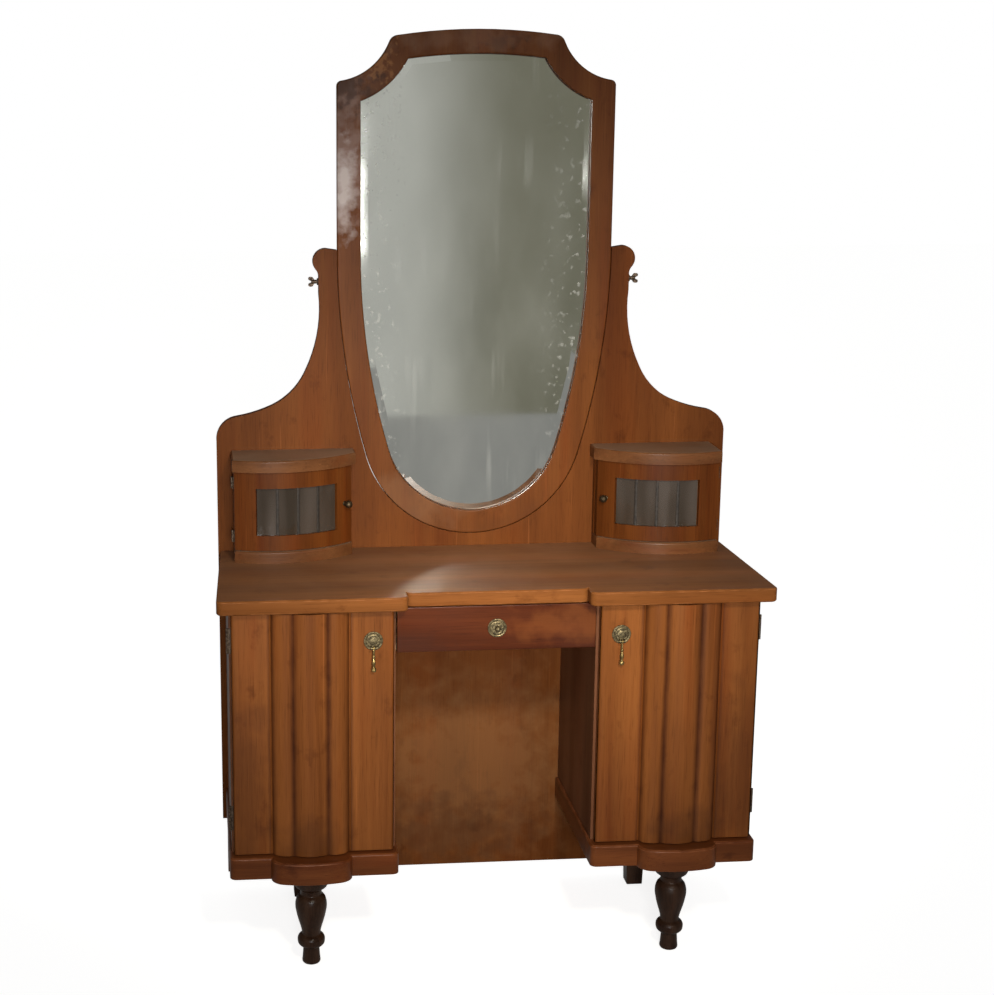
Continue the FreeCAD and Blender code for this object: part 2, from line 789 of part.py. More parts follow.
# turn clips on the rear of the frame, each over the edge of the backing
def mirror_clips():
    rim = mirror_rebate_width
    bottom = mirror_bottom_centre - mirror_bottom_radius + rim
    top = mirror_top - rim
    side = mirror_half_width - rim
    upper = mirror_scoop_centre - mirror_scoop_radius * 2
    places = [(0, bottom, -90), (0, top, 90), (side, upper, 0), (-side, upper, 180),
              (side, mirror_side_low, 0), (-side, mirror_side_low, 180)]
    half = clip_length / 2
    clips = []
    for across, height, outward in places:
        plate = block((-half, half), (0, clip_thickness), (-clip_width / 2, clip_width / 2))
        screw = Part.makeCylinder(clip_screw_radius, clip_screw_rise,
                                  point(half / 2, clip_thickness, 0), point(0, 1, 0))
        clip = plate.fuse(screw)
        clip.rotate(point(0, 0, 0), point(0, 1, 0), -outward)
        clips.append(clip.translated(point(across, board_rear, height)))
    return clips


# wing screw along X on the mirror's axis
def wing_screw():
    start = mirror_half_width - screw_in_frame
    collar = ear_neck_across + seat_gap
    rod = Part.makeCylinder(screw_radius, collar - start, point(start, 0, 0), point(1, 0, 0))
    disc = Part.makeCylinder(collar_radius, collar_thickness, point(collar, 0, 0), point(1, 0, 0))
    neck = Part.makeCylinder(neck_radius, wing_start + wing_fork_depth, point(collar, 0, 0), point(1, 0, 0))
    fork = collar + wing_length - wing_fork_depth
    end = collar + wing_length
    root = collar + wing_start
    bulge = quarter(wing_fork_half_height)
    wings = front_prism([
        (root, neck_radius / 2, 0), (root, -neck_radius / 2, 0), (fork, -wing_half_height, bulge),
        (end, -wing_half_height, bulge), (end, -wing_fork_half_height, 0), (fork, 0, 0),
        (end, wing_fork_half_height, bulge), (end, wing_half_height, bulge), (fork, wing_half_height, 0),
    ], -wing_thickness / 2, wing_thickness / 2)
    screw = rod.fuse([disc, neck, wings])
    return screw.translated(point(0, board_middle, mirror_axis_height))


# right back board: foot, side, shoulder, ear and the slot round the mirror
def back_board():
    bottom, side, straight = mirror_half(-mirror_gap)[:3]
    span = board_half_width - ear_neck_across
    rise = ear_neck_low - board_side_top
    lobe_drop = ear_lobe_height - ear_lobe_low
    lobe_low = (ear_lobe_across + math.sqrt(ear_lobe_radius ** 2 - lobe_drop ** 2), ear_lobe_low)
    lobe_top = (ear_lobe_across, ear_lobe_height + ear_lobe_radius)
    outline = [
        (0, board_foot, 0),
        (board_foot_half_width, board_foot, 0),
        (board_foot_half_width, board_step, 0),
        (board_half_width, board_step, 0),
    ]
    for across, up, bulge in shoulder_shares:
        outline.append((ear_neck_across + across * span, board_side_top + up * rise, bulge * rise))
    outline += [
        (ear_neck_across, ear_neck_low, 0),
        (ear_neck_across, ear_neck_high, ear_fillet_rise),
        (*lobe_low, arc_rise(lobe_low, lobe_top, ear_lobe_radius)),
        (*lobe_top, 0),
        (straight[0], ear_top_inner, 0),
        (straight[0], straight[1], -side[2]),
        (side[0], side[1], -bottom[2]),
        (bottom[0], bottom[1], 0),
    ]
    return front_prism(outline, table_depth, board_rear).cut(screw_hole(1))


# small cabinet: bowed slabs, two sides and a bowed glazed door
def bow_cylinder(radius, low, high):
    return Part.makeCylinder(radius, high - low, point(cabinet_axis_across, cabinet_axis_depth, low))


def cabinet_slab(inner, outer, low):
    high = low + cabinet_slab_thickness
    front = cabinet_axis_depth - cabinet_slab_radius - cut_overrun
    slab = block((inner, outer), (front, table_depth), (low, high))
    slab = slab.common(bow_cylinder(cabinet_slab_radius, low, high))
    rounded = edges_at_height(slab, high, lambda box: box.YMin < table_depth - slab_corner)
    return slab.makeFillet(cabinet_slab_round, rounded)


def cabinet_side(inner, outer):
    front = cabinet_axis_depth - cabinet_door_radius
    side = block((inner, outer), (front, table_depth), (cabinet_floor, cabinet_ceiling))
    return side.common(bow_cylinder(cabinet_cheek_radius, cabinet_floor, cabinet_ceiling))


def bow_ring(outer_radius, inner_radius, low, high, first, last):
    """Ring segment about the bow's axis; angles from straight forward, positive to the outside."""
    centre = point(cabinet_axis_across, cabinet_axis_depth, low)
    ring = Part.makeCylinder(outer_radius, high - low, centre, point(0, 0, 1), last - first)
    ring = ring.cut(Part.makeCylinder(inner_radius, high - low, centre))
    ring.rotate(centre, point(0, 0, 1), first - 90)
    return ring


def pane_radius():
    return cabinet_door_radius - cabinet_door_thickness / 2


def pane_angle():
    return (window_outer_angle - window_inner_angle) / pane_count


def to_bow(shape, radius, angle):
    """Move a shape that was made at the origin, facing -Y, out to the bow at an angle."""
    turned_shape = shape.copy()
    turned_shape.rotate(point(0, 0, 0), point(0, 0, 1), angle)
    across = cabinet_axis_across + radius * math.sin(math.radians(angle))
    depth = cabinet_axis_depth - radius * math.cos(math.radians(angle))
    return turned_shape.translated(point(across, depth, 0))


def cabinet_leaf_radius():
    return cabinet_door_radius - cabinet_door_thickness - cabinet_hinge_space / 2


def cabinet_leaf_angle():
    return math.asin((cabinet_leaf_across - cabinet_axis_across) / cabinet_leaf_radius())


def cabinet_hinge_axis():
    angle = cabinet_leaf_angle()
    depth = cabinet_axis_depth - cabinet_leaf_radius() * math.cos(angle)
    return point(cabinet_leaf_across + cabinet_leaf_outset * math.cos(angle),
                 depth + cabinet_leaf_outset * math.sin(angle), 0)


def cabinet_hinges():
    thickness = (cabinet_hinge_space - leaf_gap) / 2
    parts = hinge(cabinet_leaf_width, cabinet_leaf_height, thickness,
                  cabinet_barrel_radius, cabinet_pin_radius)
    axis = cabinet_hinge_axis()
    low = cabinet_floor + cabinet_hinge_inset
    high = cabinet_ceiling - cabinet_hinge_inset
    groups = []
    for part in parts:
        part.rotate(point(0, 0, 0), point(0, 0, 1), math.degrees(cabinet_leaf_angle()))
        groups.append([part.translated(point(axis.x, axis.y, height)) for height in (low, high)])
    return groups


def cabinet_door():
    low = cabinet_floor + cabinet_door_gap
    high = cabinet_ceiling - cabinet_door_gap
    inner_radius = cabinet_door_radius - cabinet_door_thickness
    across = (cabinet_inner + cabinet_door_gap, cabinet_outer - cabinet_door_gap)
    front = cabinet_axis_depth - cabinet_door_radius - cut_overrun
    door = block(across, (front, table_depth), (low, high))
    door = door.common(bow_cylinder(cabinet_door_radius, low, high))
    door = door.cut(bow_cylinder(inner_radius, low, high))
    window = bow_ring(cabinet_door_radius + cut_overrun, inner_radius - cut_overrun,
                      cabinet_floor + window_low, cabinet_floor + window_high,
                      window_inner_angle, window_outer_angle)
    spread = math.degrees(pane_groove / 2 / cabinet_door_radius)
    sag = pane_radius() * (1 - math.cos(math.radians(pane_angle() / 2)))
    half = pane_thickness / 2 + pane_play
    groove = bow_ring(pane_radius() + half, pane_radius() - half - sag,
                      cabinet_floor + window_low - pane_groove, cabinet_floor + window_high + pane_groove,
                      window_inner_angle - spread, window_outer_angle + spread)
    return door.cut([window, groove, *cabinet_hinges()[1]])


def cabinet_panes():
    half_angle = math.radians(pane_angle() / 2)
    half = pane_radius() * math.sin(half_angle) - came_web
    flat = pane_radius() * math.cos(half_angle)
    low = cabinet_floor + window_low - pane_groove
    high = cabinet_floor + window_high + pane_groove - pane_play
    pane = block((-half, half), (-pane_thickness / 2, pane_thickness / 2), (low, high))
    angles = [window_inner_angle + pane_angle() * (index + 0.5) for index in range(pane_count)]
    return [to_bow(pane, flat, angle) for angle in angles]


def cabinet_cames():
    half = came_flange_width / 2
    channel = pane_thickness / 2 + 2 * pane_play
    span = (cabinet_floor + window_low, cabinet_floor + window_high)
    bar = block((-came_web / 2, came_web / 2), (-channel, channel), span)
    front = block((-half, half), (-channel - came_flange_thickness, -channel), span)
    rear = block((-half, half), (channel, channel + came_flange_thickness), span)
    bar = bar.fuse([front, rear])
    angles = [window_inner_angle + pane_angle() * index for index in range(1, pane_count)]
    return [to_bow(bar, pane_radius(), angle) for angle in angles]


def cabinet_knob():
    knob = turned(knob_shares, knob_radius, knob_length)
    knob.rotate(point(0, 0, 0), point(1, 0, 0), 90)
    knob = to_bow(knob, cabinet_door_radius - seat_gap, knob_angle)
    knob = knob.translated(point(0, 0, cabinet_floor + knob_height))
    return knob.cut(bow_cylinder(cabinet_door_radius, cabinet_floor, cabinet_ceiling))


save("table_top", table_top())
save_pair("plinth", plinth_rail())
returns = [plinth_return(plinth_inner, 1), plinth_return(plinth_outer, -1)]
save("plinth_returns", *returns, *[mirrored(rail) for rail in returns])
save("base_rear_rails", base_rear_rail(), mirrored(base_rear_rail()))
save_pair("front_foot", front_foot())
save("rear_feet", rear_foot(), mirrored(rear_foot()))
save_pair("inner_side", side_panel(-1))
save_pair("outer_side", side_panel(1))
save_pair("pedestal_floor", pedestal_floor())
save("top_rails", top_rail(), mirrored(top_rail()))
save_pair("shelf", shelf())
all_pegs = pegs(-1, peg_radius) + pegs(1, peg_radius)
save("shelf_pegs", *all_pegs, *[mirrored(peg) for peg in all_pegs])
save_pair("door", pedestal_door())
fixed_leaves, door_leaves = pedestal_hinges()
save("pedestal_hinge_leaves", *fixed_leaves, *[mirrored(leaf) for leaf in fixed_leaves])
save_pair("door_hinge_leaves", *door_leaves)
save_pair("handle_plate", handle_plate())
save_pair("drop_pull", drop_pull())
save("drawer_front", drawer_front())
save("drawer_sides", drawer_side(-1), drawer_side(1))
save("drawer_back", drawer_back())
save("drawer_bottom", drawer_bottom_space(0))
save("drawer_knob", drawer_knob())
save("drawer_runners", drawer_runner(-1), drawer_runner(1))
save("kneehole_rail", kneehole_rail())
save_pair("back_board", back_board())
save("mirror_frame", mirror_frame())
save("mirror_glass", mirror_glass())
save("mirror_backing", mirror_backing())
save("mirror_clips", *mirror_clips())
save_pair("wing_screw", wing_screw())
save_pair("cabinet_base", cabinet_slab(cabinet_inner, cabinet_outer, table_height))
save_pair("cabinet_cap", cabinet_slab(cabinet_cap_inner, cabinet_cap_outer, cabinet_ceiling))
save_pair("cabinet_sides", cabinet_side(cabinet_inner, cabinet_inner + cabinet_side_thickness),
          cabinet_side(cabinet_outer - cabinet_side_thickness, cabinet_outer))
save_pair("cabinet_door", cabinet_door())
save_pair("cabinet_panes", *cabinet_panes())
save_pair("cabinet_cames", *cabinet_cames())
save_pair("cabinet_knob", cabinet_knob())
frame_leaves, glazed_leaves = cabinet_hinges()
save("cabinet_hinge_leaves", *frame_leaves, *[mirrored(leaf) for leaf in frame_leaves])
save_pair("cabinet_door_leaves", *glazed_leaves)
axis = cabinet_hinge_axis()
print("depth centre", round(depth_centre, 4))
print("cabinet hinge axis", round(axis.x, 4), round(axis.y - depth_centre, 4))
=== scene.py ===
import bmesh
import bpy
import math
from mathutils import Matrix, Vector


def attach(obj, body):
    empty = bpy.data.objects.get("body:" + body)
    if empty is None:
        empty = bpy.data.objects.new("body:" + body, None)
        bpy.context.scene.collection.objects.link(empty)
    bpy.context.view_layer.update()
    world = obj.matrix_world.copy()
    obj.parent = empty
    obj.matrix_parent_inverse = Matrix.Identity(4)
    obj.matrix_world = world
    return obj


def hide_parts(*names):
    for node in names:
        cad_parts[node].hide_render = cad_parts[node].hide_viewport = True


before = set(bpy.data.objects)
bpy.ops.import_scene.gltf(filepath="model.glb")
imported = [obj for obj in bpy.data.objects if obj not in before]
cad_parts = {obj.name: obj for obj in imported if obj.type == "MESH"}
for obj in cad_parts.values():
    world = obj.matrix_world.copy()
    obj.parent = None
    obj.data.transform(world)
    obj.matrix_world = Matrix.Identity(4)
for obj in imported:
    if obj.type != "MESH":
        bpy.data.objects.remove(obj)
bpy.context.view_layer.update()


# Turned front feet
# Two beech feet turned on a lathe and stained nearly black, each with a spigot that is glued into
# the plinth's bow. A rounded toe, a straight ankle, a thick ring, a long bulb and a flared pad.
foot_length = 0.194
foot_radius = 0.037
foot_axis_x = 0.361
foot_axis_y = -0.14325
foot_profile = (
    (0.000, 0.38), (0.010, 0.455), (0.030, 0.49), (0.060, 0.472), (0.120, 0.448), (0.178, 0.432),
    (0.184, 0.48), (0.205, 0.645), (0.235, 0.725), (0.262, 0.735), (0.290, 0.695), (0.312, 0.590),
    (0.322, 0.50), (0.352, 0.51), (0.400, 0.565), (0.480, 0.690), (0.560, 0.790), (0.640, 0.845),
    (0.700, 0.800), (0.742, 0.680), (0.768, 0.570), (0.785, 0.570), (0.850, 0.86), (0.900, 0.965),
    (0.925, 1.00), (1.000, 1.00),
)
both_sides = (("right", 1), ("left", -1))


def fed(tree, node, feeds):
    """Gives sockets of a node their values, or links them to other nodes' sockets."""
    for key, value in feeds.items():
        if isinstance(value, bpy.types.NodeSocket):
            tree.links.new(value, node.inputs[key])
        else:
            node.inputs[key].default_value = value


def wired(tree, kind, feeds=None, **settings):
    """Adds a node with its settings and feeds."""
    node = tree.nodes.new(kind)
    for key, value in settings.items():
        setattr(node, key, value)
    fed(tree, node, feeds or {})
    return node


def reckon(tree, operation, first, second=0.0):
    return wired(tree, "ShaderNodeMath", {0: first, 1: second}, operation=operation).outputs["Value"]


def times(tree, first, second):
    return reckon(tree, "MULTIPLY", first, second)


def ranged(tree, value, low, high, to_low, to_high):
    feeds = {"Value": value, "From Min": low, "From Max": high, "To Min": to_low, "To Max": to_high}
    return wired(tree, "ShaderNodeMapRange", feeds).outputs["Result"]


def vector_of(tree, **parts):
    """A vector from its X, Y and Z, of which those that aren't given are zero."""
    return wired(tree, "ShaderNodeCombineXYZ", parts).outputs["Vector"]


def new_tree(name, **kinds):
    """A geometry tree with named inputs: the tree, its input sockets and each input's identifier."""
    tree = bpy.data.node_groups.new(name, "GeometryNodeTree")
    identifiers = {}
    for label, kind in kinds.items():
        socket = tree.interface.new_socket(label, in_out="INPUT", socket_type="NodeSocket" + kind)
        identifiers[label] = socket.identifier
    tree.interface.new_socket("Piece", in_out="OUTPUT", socket_type="NodeSocketGeometry")
    return tree, wired(tree, "NodeGroupInput").outputs, identifiers


def close_tree(tree, geometry, finish):
    real = wired(tree, "GeometryNodeRealizeInstances", {"Geometry": geometry})
    painted = wired(tree, "GeometryNodeSetMaterial",
                    {"Geometry": real.outputs["Geometry"], "Material": finish})
    wired(tree, "NodeGroupOutput", {"Piece": painted.outputs["Geometry"]})


def as_mesh(name, tree, identifiers, place, crease=42, **values):
    """Runs a geometry tree on an empty mesh, and keeps what it makes as a plain smooth mesh."""
    carrier = bpy.data.objects.new(name + ".carrier", bpy.data.meshes.new(name + ".carrier"))
    bpy.context.scene.collection.objects.link(carrier)
    modifier = carrier.modifiers.new("make", "NODES")
    modifier.node_group = tree
    for label, value in values.items():
        modifier[identifiers[label]] = value
    bpy.context.view_layer.update()
    mesh = bpy.data.meshes.new_from_object(carrier.evaluated_get(bpy.context.evaluated_depsgraph_get()))
    mesh.name = name
    bpy.data.objects.remove(carrier)
    mesh.transform(place)
    form = bmesh.new()
    form.from_mesh(mesh)
    bmesh.ops.remove_doubles(form, verts=form.verts, dist=1e-6)
    bmesh.ops.recalc_face_normals(form, faces=form.faces)
    form.to_mesh(mesh)
    form.free()
    mesh.shade_smooth()
    mesh.set_sharp_from_angle(angle=math.radians(crease))
    return mesh


def piece(name, mesh, body, replaced=()):
    """Puts a finished mesh in the scene as a piece that moves with its body."""
    made = bpy.data.objects.new(name, mesh)
    bpy.context.scene.collection.objects.link(made)
    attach(made, body)
    if replaced:
        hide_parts(*replaced)


def turning_tree(name, profile):
    """Turns a profile of (share of length, share of radius) about Z."""
    tree, given, identifiers = new_tree(name, Length="Float", Radius="Float", Steps="Int", Sides="Int",
                                        Finish="Material")
    axis = wired(tree, "GeometryNodeCurvePrimitiveLine", {"End": vector_of(tree, Z=given["Length"])})
    fine = wired(tree, "GeometryNodeResampleCurve",
                 {"Curve": axis.outputs["Curve"], "Count": given["Steps"]})
    along = wired(tree, "GeometryNodeSplineParameter")
    shape = wired(tree, "ShaderNodeFloatCurve", {"Value": along.outputs["Factor"]})
    curve = shape.mapping.curves[0]
    while len(curve.points) < len(profile):
        curve.points.new(0.5, 0.5)
    for point, (share, across) in zip(curve.points, profile):
        point.location = (share, across)
        point.handle_type = "AUTO_CLAMPED"
    shape.mapping.update()
    section = wired(tree, "GeometryNodeCurvePrimitiveCircle",
                    {"Resolution": given["Sides"], "Radius": given["Radius"]})
    skin = wired(tree, "GeometryNodeCurveToMesh",
                 {"Curve": fine.outputs["Curve"], "Profile Curve": section.outputs["Curve"],
                  "Scale": shape.outputs["Value"], "Fill Caps": True})
    close_tree(tree, skin.outputs["Mesh"], given["Finish"])
    return tree, identifiers


def turned(name, profile, length, radius, finish, place, steps=160, sides=56):
    """A turned piece, moved to its place with its own Z axis laid along the matrix's Z."""
    tree, identifiers = turning_tree(name + ".lathe", profile)
    return as_mesh(name, tree, identifiers, place, Length=length, Radius=radius, Steps=steps, Sides=sides,
                   Finish=finish)


def new_finish(name):
    """A new material: itself, its tree and its surface."""
    finish = bpy.data.materials.new(name)
    finish.use_nodes = True
    return finish, finish.node_tree, finish.node_tree.nodes["Principled BSDF"]


def object_place(tree):
    return wired(tree, "ShaderNodeTexCoord").outputs["Object"]


def noise(tree, vector, scale, detail=3.0, roughness=0.55, distortion=0.0):
    feeds = {"Vector": vector, "Scale": scale, "Detail": detail, "Roughness": roughness,
             "Distortion": distortion}
    return wired(tree, "ShaderNodeTexNoise", feeds).outputs["Fac"]


def ramped(tree, value, low, dark, high, pale):
    """A colour that runs from dark at the low value to pale at the high one."""
    ramp = wired(tree, "ShaderNodeValToRGB", {"Fac": value})
    for stop, place, colour in zip(ramp.color_ramp.elements, (low, high), (dark, pale)):
        stop.position = place
        stop.color = (*colour, 1.0)
    return ramp


def blended(tree, mode, factor, first, second):
    """Lays the second colour on the first, which is a socket or a colour with its alpha."""
    mix = wired(tree, "ShaderNodeMix", {0: factor, 6: first, 7: (*second, 1.0)}, data_type="RGBA",
                blend_type=mode)
    return mix.outputs[2]


def varnished_wood(name, colour, grain="Z", contrast=0.26, gloss=0.36, figure=9.0, pores=0.40, stains=0.35,
                   shine=0.15):
    """Old varnished wood: figure, fibres and pores along the grain, stains, worn edges, and painted shade
    darkening the hollows.
    """
    finish, tree, surface = new_finish(name)
    own_place = object_place(tree)
    pore_dark, aged_dark, stain_dark = (0.40, 0.36, 0.32), (0.55, 0.48, 0.42), (0.42, 0.34, 0.28)
    # The dark colour after the red tint is painted shade for the hollows.
    red_tint, hollow_shade_dark = (0.94, 0.70, 0.58), (0.27, 0.20, 0.17)
    scratch_pale = [part * 1.5 + 0.01 for part in colour]
    worn_pale = [part * 1.7 + 0.012 for part in colour]
    streak_share, fibre_share, band_share = 0.48, 0.36, 0.16

    def drawn_out(along, lean=0.0):
        stretch = [along if axis == grain else 1.0 for axis in "XYZ"]
        feeds = {"Vector": own_place, "Scale": stretch, "Rotation": (0.0, lean, 0.0)}
        return wired(tree, "ShaderNodeMapping", feeds).outputs["Vector"]

    streak = noise(tree, drawn_out(0.07), figure, detail=5.0, distortion=0.8)
    fibre = noise(tree, drawn_out(0.020), figure * 12, detail=4.0, roughness=0.62, distortion=0.3)
    pore = noise(tree, drawn_out(0.028), scale=640.0, detail=2.0, roughness=0.5)
    patch = noise(tree, drawn_out(0.55), scale=4.2)
    spot = noise(tree, drawn_out(0.7), scale=23.0, detail=4.0, roughness=0.6)
    scratch = noise(tree, drawn_out(0.012, lean=0.35), scale=260.0, detail=1.0)
    bands = wired(tree, "ShaderNodeTexWave",
                  {"Vector": drawn_out(0.05), "Scale": figure * 0.7, "Distortion": 6.0, "Detail": 3.0,
                   "Detail Scale": 1.1, "Detail Roughness": 0.6},
                  wave_type="BANDS", bands_direction="DIAGONAL").outputs["Fac"]
    tone = reckon(tree, "ADD", times(tree, streak, streak_share), times(tree, fibre, fibre_share))
    tone = reckon(tree, "ADD", tone, times(tree, bands, band_share))
    dark = [part * (1 - contrast * more) for part, more in zip(colour, (1.0, 1.18, 1.35))]
    pale = [part * (1 + contrast * more) for part, more in zip(colour, (1.0, 1.12, 1.20))]
    ramp = ramped(tree, tone, 0.33, dark, 0.68, pale)
    ramp.color_ramp.elements.new(0.50).color = (*colour, 1.0)
    pored = blended(tree, "MULTIPLY", times(tree, ranged(tree, pore, 0.55, 0.68, 0.0, 1.0), pores),
                    ramp.outputs["Color"], pore_dark)
    aged = blended(tree, "MULTIPLY", ranged(tree, patch, 0.38, 0.66, 0.0, stains), pored, aged_dark)
    stained = blended(tree, "MULTIPLY", ranged(tree, spot, 0.60, 0.74, 0.0, stains * 1.6), aged, stain_dark)
    scratched = blended(tree, "ADD", ranged(tree, scratch, 0.70, 0.78, 0.0, 0.22), stained, scratch_pale)
    redder = noise(tree, drawn_out(0.06), figure * 2.4)
    reddened = blended(tree, "MULTIPLY", ranged(tree, redder, 0.50, 0.68, 0.0, 0.55), scratched, red_tint)
    rim = wired(tree, "ShaderNodeAttribute", attribute_name="rim").outputs["Fac"]
    chips = noise(tree, drawn_out(0.5), scale=70.0)
    chipped = times(tree, rim, ranged(tree, chips, 0.44, 0.60, 0.0, 0.65))
    worn = blended(tree, "MIX", chipped, reddened, worn_pale)
    # Painted shade: where a piece marks hollows, the colour is darkened towards the dark colour as shade
    # would fall there; the hollows are also made rougher.
    hollow = wired(tree, "ShaderNodeAttribute", attribute_name="hollow").outputs["Fac"]
    hollow_shade = times(tree, hollow, ranged(tree, spot, 0.30, 0.60, 0.65, 0.95))
    dull = reckon(tree, "ADD", ranged(tree, patch, 0.35, 0.70, gloss - 0.07, gloss + 0.12),
                  times(tree, hollow, 0.3))
    height = reckon(tree, "SUBTRACT", times(tree, fibre, 0.6), times(tree, pore, 0.5))
    relief = wired(tree, "ShaderNodeBump", {"Height": height, "Strength": 0.32, "Distance": 0.0005})
    fed(tree, surface, {"Base Color": blended(tree, "MULTIPLY", hollow_shade, worn, hollow_shade_dark), "Roughness": dull,
                        "Normal": relief.outputs["Normal"], "Specular IOR Level": shine,
                        "Coat Weight": shine / 4, "Coat Roughness": 0.25})
    return finish


foot_stain = varnished_wood("dark foot stain", (0.038, 0.0185, 0.0105), contrast=0.45, gloss=0.30,
                            figure=26.0)
for side, sign in both_sides:
    place = Matrix.Translation((sign * foot_axis_x, foot_axis_y, 0.0))
    mesh = turned(side + "_turned_foot", foot_profile, foot_length, foot_radius, foot_stain, place)
    piece(side + "_turned_foot", mesh, "carcass", [side + "_front_foot"])


# Square rear feet
# Two plain tapered posts of the same dark beech under the rear rails. They stand out of sight
# behind the plinths, with their corners eased by a plane.
post_edge = 0.002


def eased(name, nodes, body, finish, width, sharp=28, segments=2, crease=50):
    """A piece from its exact solids, with sharp outer edges planed round. The new faces carry the wear."""
    same_point, flat, limit = 2e-6, math.radians(0.6), math.radians(sharp)
    form = bmesh.new()
    for node in nodes:
        form.from_mesh(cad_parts[node].data)
    bmesh.ops.remove_doubles(form, verts=form.verts, dist=same_point)
    bmesh.ops.dissolve_limit(form, angle_limit=flat, verts=form.verts, edges=form.edges)
    rim = form.faces.layers.float.new("rim")
    edges = [edge for edge in form.edges
             if len(edge.link_faces) == 2 and edge.is_convex and edge.calc_face_angle() > limit]
    made = bmesh.ops.bevel(form, geom=edges, offset=width, offset_type="OFFSET", segments=segments,
                           profile=0.5, affect="EDGES", clamp_overlap=True)
    for face in made["faces"]:
        face[rim] = 1.0
    for face in form.faces:
        face.material_index = 0
    mesh = bpy.data.meshes.new(name)
    form.to_mesh(mesh)
    form.free()
    mesh.materials.append(finish)
    mesh.shade_smooth()
    mesh.set_sharp_from_angle(angle=math.radians(crease))
    carrier = bpy.data.objects.new(name + ".carrier", mesh)
    bpy.context.scene.collection.objects.link(carrier)
    carrier.modifiers.new("even", "WEIGHTED_NORMAL").keep_sharp = True
    bpy.context.view_layer.update()
    done = bpy.data.meshes.new_from_object(carrier.evaluated_get(bpy.context.evaluated_depsgraph_get()))
    done.name = name
    bpy.data.objects.remove(carrier)
    piece(name, done, body, nodes)


eased("rear_posts", ["rear_feet"], "carcass", foot_stain, post_edge)


# Plinths
# A moulded rail runs round each pedestal on three sides: its front swells into a bow over the foot,
# its sides return to the back boards, and the upper edge is chamfered. A plain rail closes the rear.
plinth_edge, rear_rail_edge = 0.0012, 0.001
plinth_veneer = varnished_wood("plinth veneer", (0.130, 0.037, 0.0095), grain="X", figure=14.0, stains=0.45)
return_veneer = varnished_wood("plinth return veneer", (0.115, 0.033, 0.009), grain="Y", figure=14.0)
bare_wood = varnished_wood("bare inner wood", (0.28, 0.17, 0.085), grain="X", gloss=0.62, pores=0.25)
for side in ("right", "left"):
    eased(side + "_bowed_plinth", [side + "_plinth"], "carcass", plinth_veneer, plinth_edge)
eased("plinth_side_rails", ["plinth_returns"], "carcass", return_veneer, plinth_edge)
eased("plinth_rear_rails", ["base_rear_rails"], "carcass", bare_wood, rear_rail_edge)


# Pedestal cases
# Each pedestal is a box of four boards: veneered outer and kneehole sides, a floor and a top rail of
# bare wood, and one loose shelf that lies on four turned pegs.
case_edge, rail_edge, shelf_edge, peg_edge = 0.001, 0.0008, 0.0012, 0.0005
side_veneer = varnished_wood("side veneer", (0.135, 0.054, 0.026), shine=0.05, figure=7.0)
peg_wood = varnished_wood("peg wood", (0.24, 0.14, 0.07), gloss=0.6, figure=60.0)
for side in ("right", "left"):
    for board in (side + "_inner_side", side + "_outer_side"):
        eased(board + "_board", [board], "carcass", side_veneer, case_edge)
    eased(side + "_floor_board", [side + "_pedestal_floor"], "carcass", bare_wood, rail_edge)
    eased(side + "_loose_shelf", [side + "_shelf"], "carcass", bare_wood, shelf_edge)
eased("upper_rails", ["top_rails"], "carcass", bare_wood, rail_edge)
eased("pegs", ["shelf_pegs"], "carcass", peg_wood, peg_edge)


# Table slab
# One thick veneered slab whose front is set back over the kneehole, with rounded corners and an eased edge.
# The grain runs along it, the varnish is worn paler where hands and things have rubbed, and the top carries
# dust and a painted sheen.
slab_edge = 0.0015


def laid_over(finish, amount, colour):
    """Lays one more colour over what a finish has."""
    tree = finish.node_tree
    skin = tree.nodes["Principled BSDF"].inputs["Base Color"]
    tree.links.new(blended(tree, "MIX", amount, skin.links[0].from_socket, colour), skin)


def dust_and_sheen(finish, strength, colour):
    """Fine dust and rubbed varnish on the faces that look up, together with a painted sheen that makes them
    paler, as light falling on them would.
    """
    tree = finish.node_tree
    normal = wired(tree, "ShaderNodeNewGeometry").outputs["Normal"]
    upward = wired(tree, "ShaderNodeSeparateXYZ", {"Vector": normal}).outputs["Z"]
    wiped = noise(tree, object_place(tree), scale=9.0, detail=5.0, roughness=0.5)
    tilted, level = 0.9, 0.99
    amount = times(tree, ranged(tree, upward, tilted, level, 0.0, strength),
                   ranged(tree, wiped, 0.30, 0.70, 0.6, 1.0))
    laid_over(finish, amount, colour)


slab_veneer = varnished_wood("slab veneer", (0.172, 0.059, 0.0150), grain="X", gloss=0.42, figure=7.0,
                             shine=0.03)
# The slab's top is paler with dust and a painted sheen.
dust_and_sheen(slab_veneer, 0.14, (0.36, 0.27, 0.20))
eased("slab", ["table_top"], "carcass", slab_veneer, slab_edge)


# Drawer and its runners
# A shallow dovetailed drawer with a darker, redder front of solid wood, thin bare sides and bottom,
# on two runners fixed to the pedestals. A plain rail ties the pedestals together at the rear.
drawer_half_width = 0.193
drawer_face_rear = -0.13125
drawer_edge, drawer_base_edge, runner_edge, knee_rail_edge = 0.0008, 0.0004, 0.0006, 0.001
dovetail_count = 3
dovetail_pitch, dovetail_low = 0.022, 0.6725
dovetail_long, dovetail_tall, dovetail_deep = 0.012, 0.011, 0.0003
dovetail_taper = 0.36


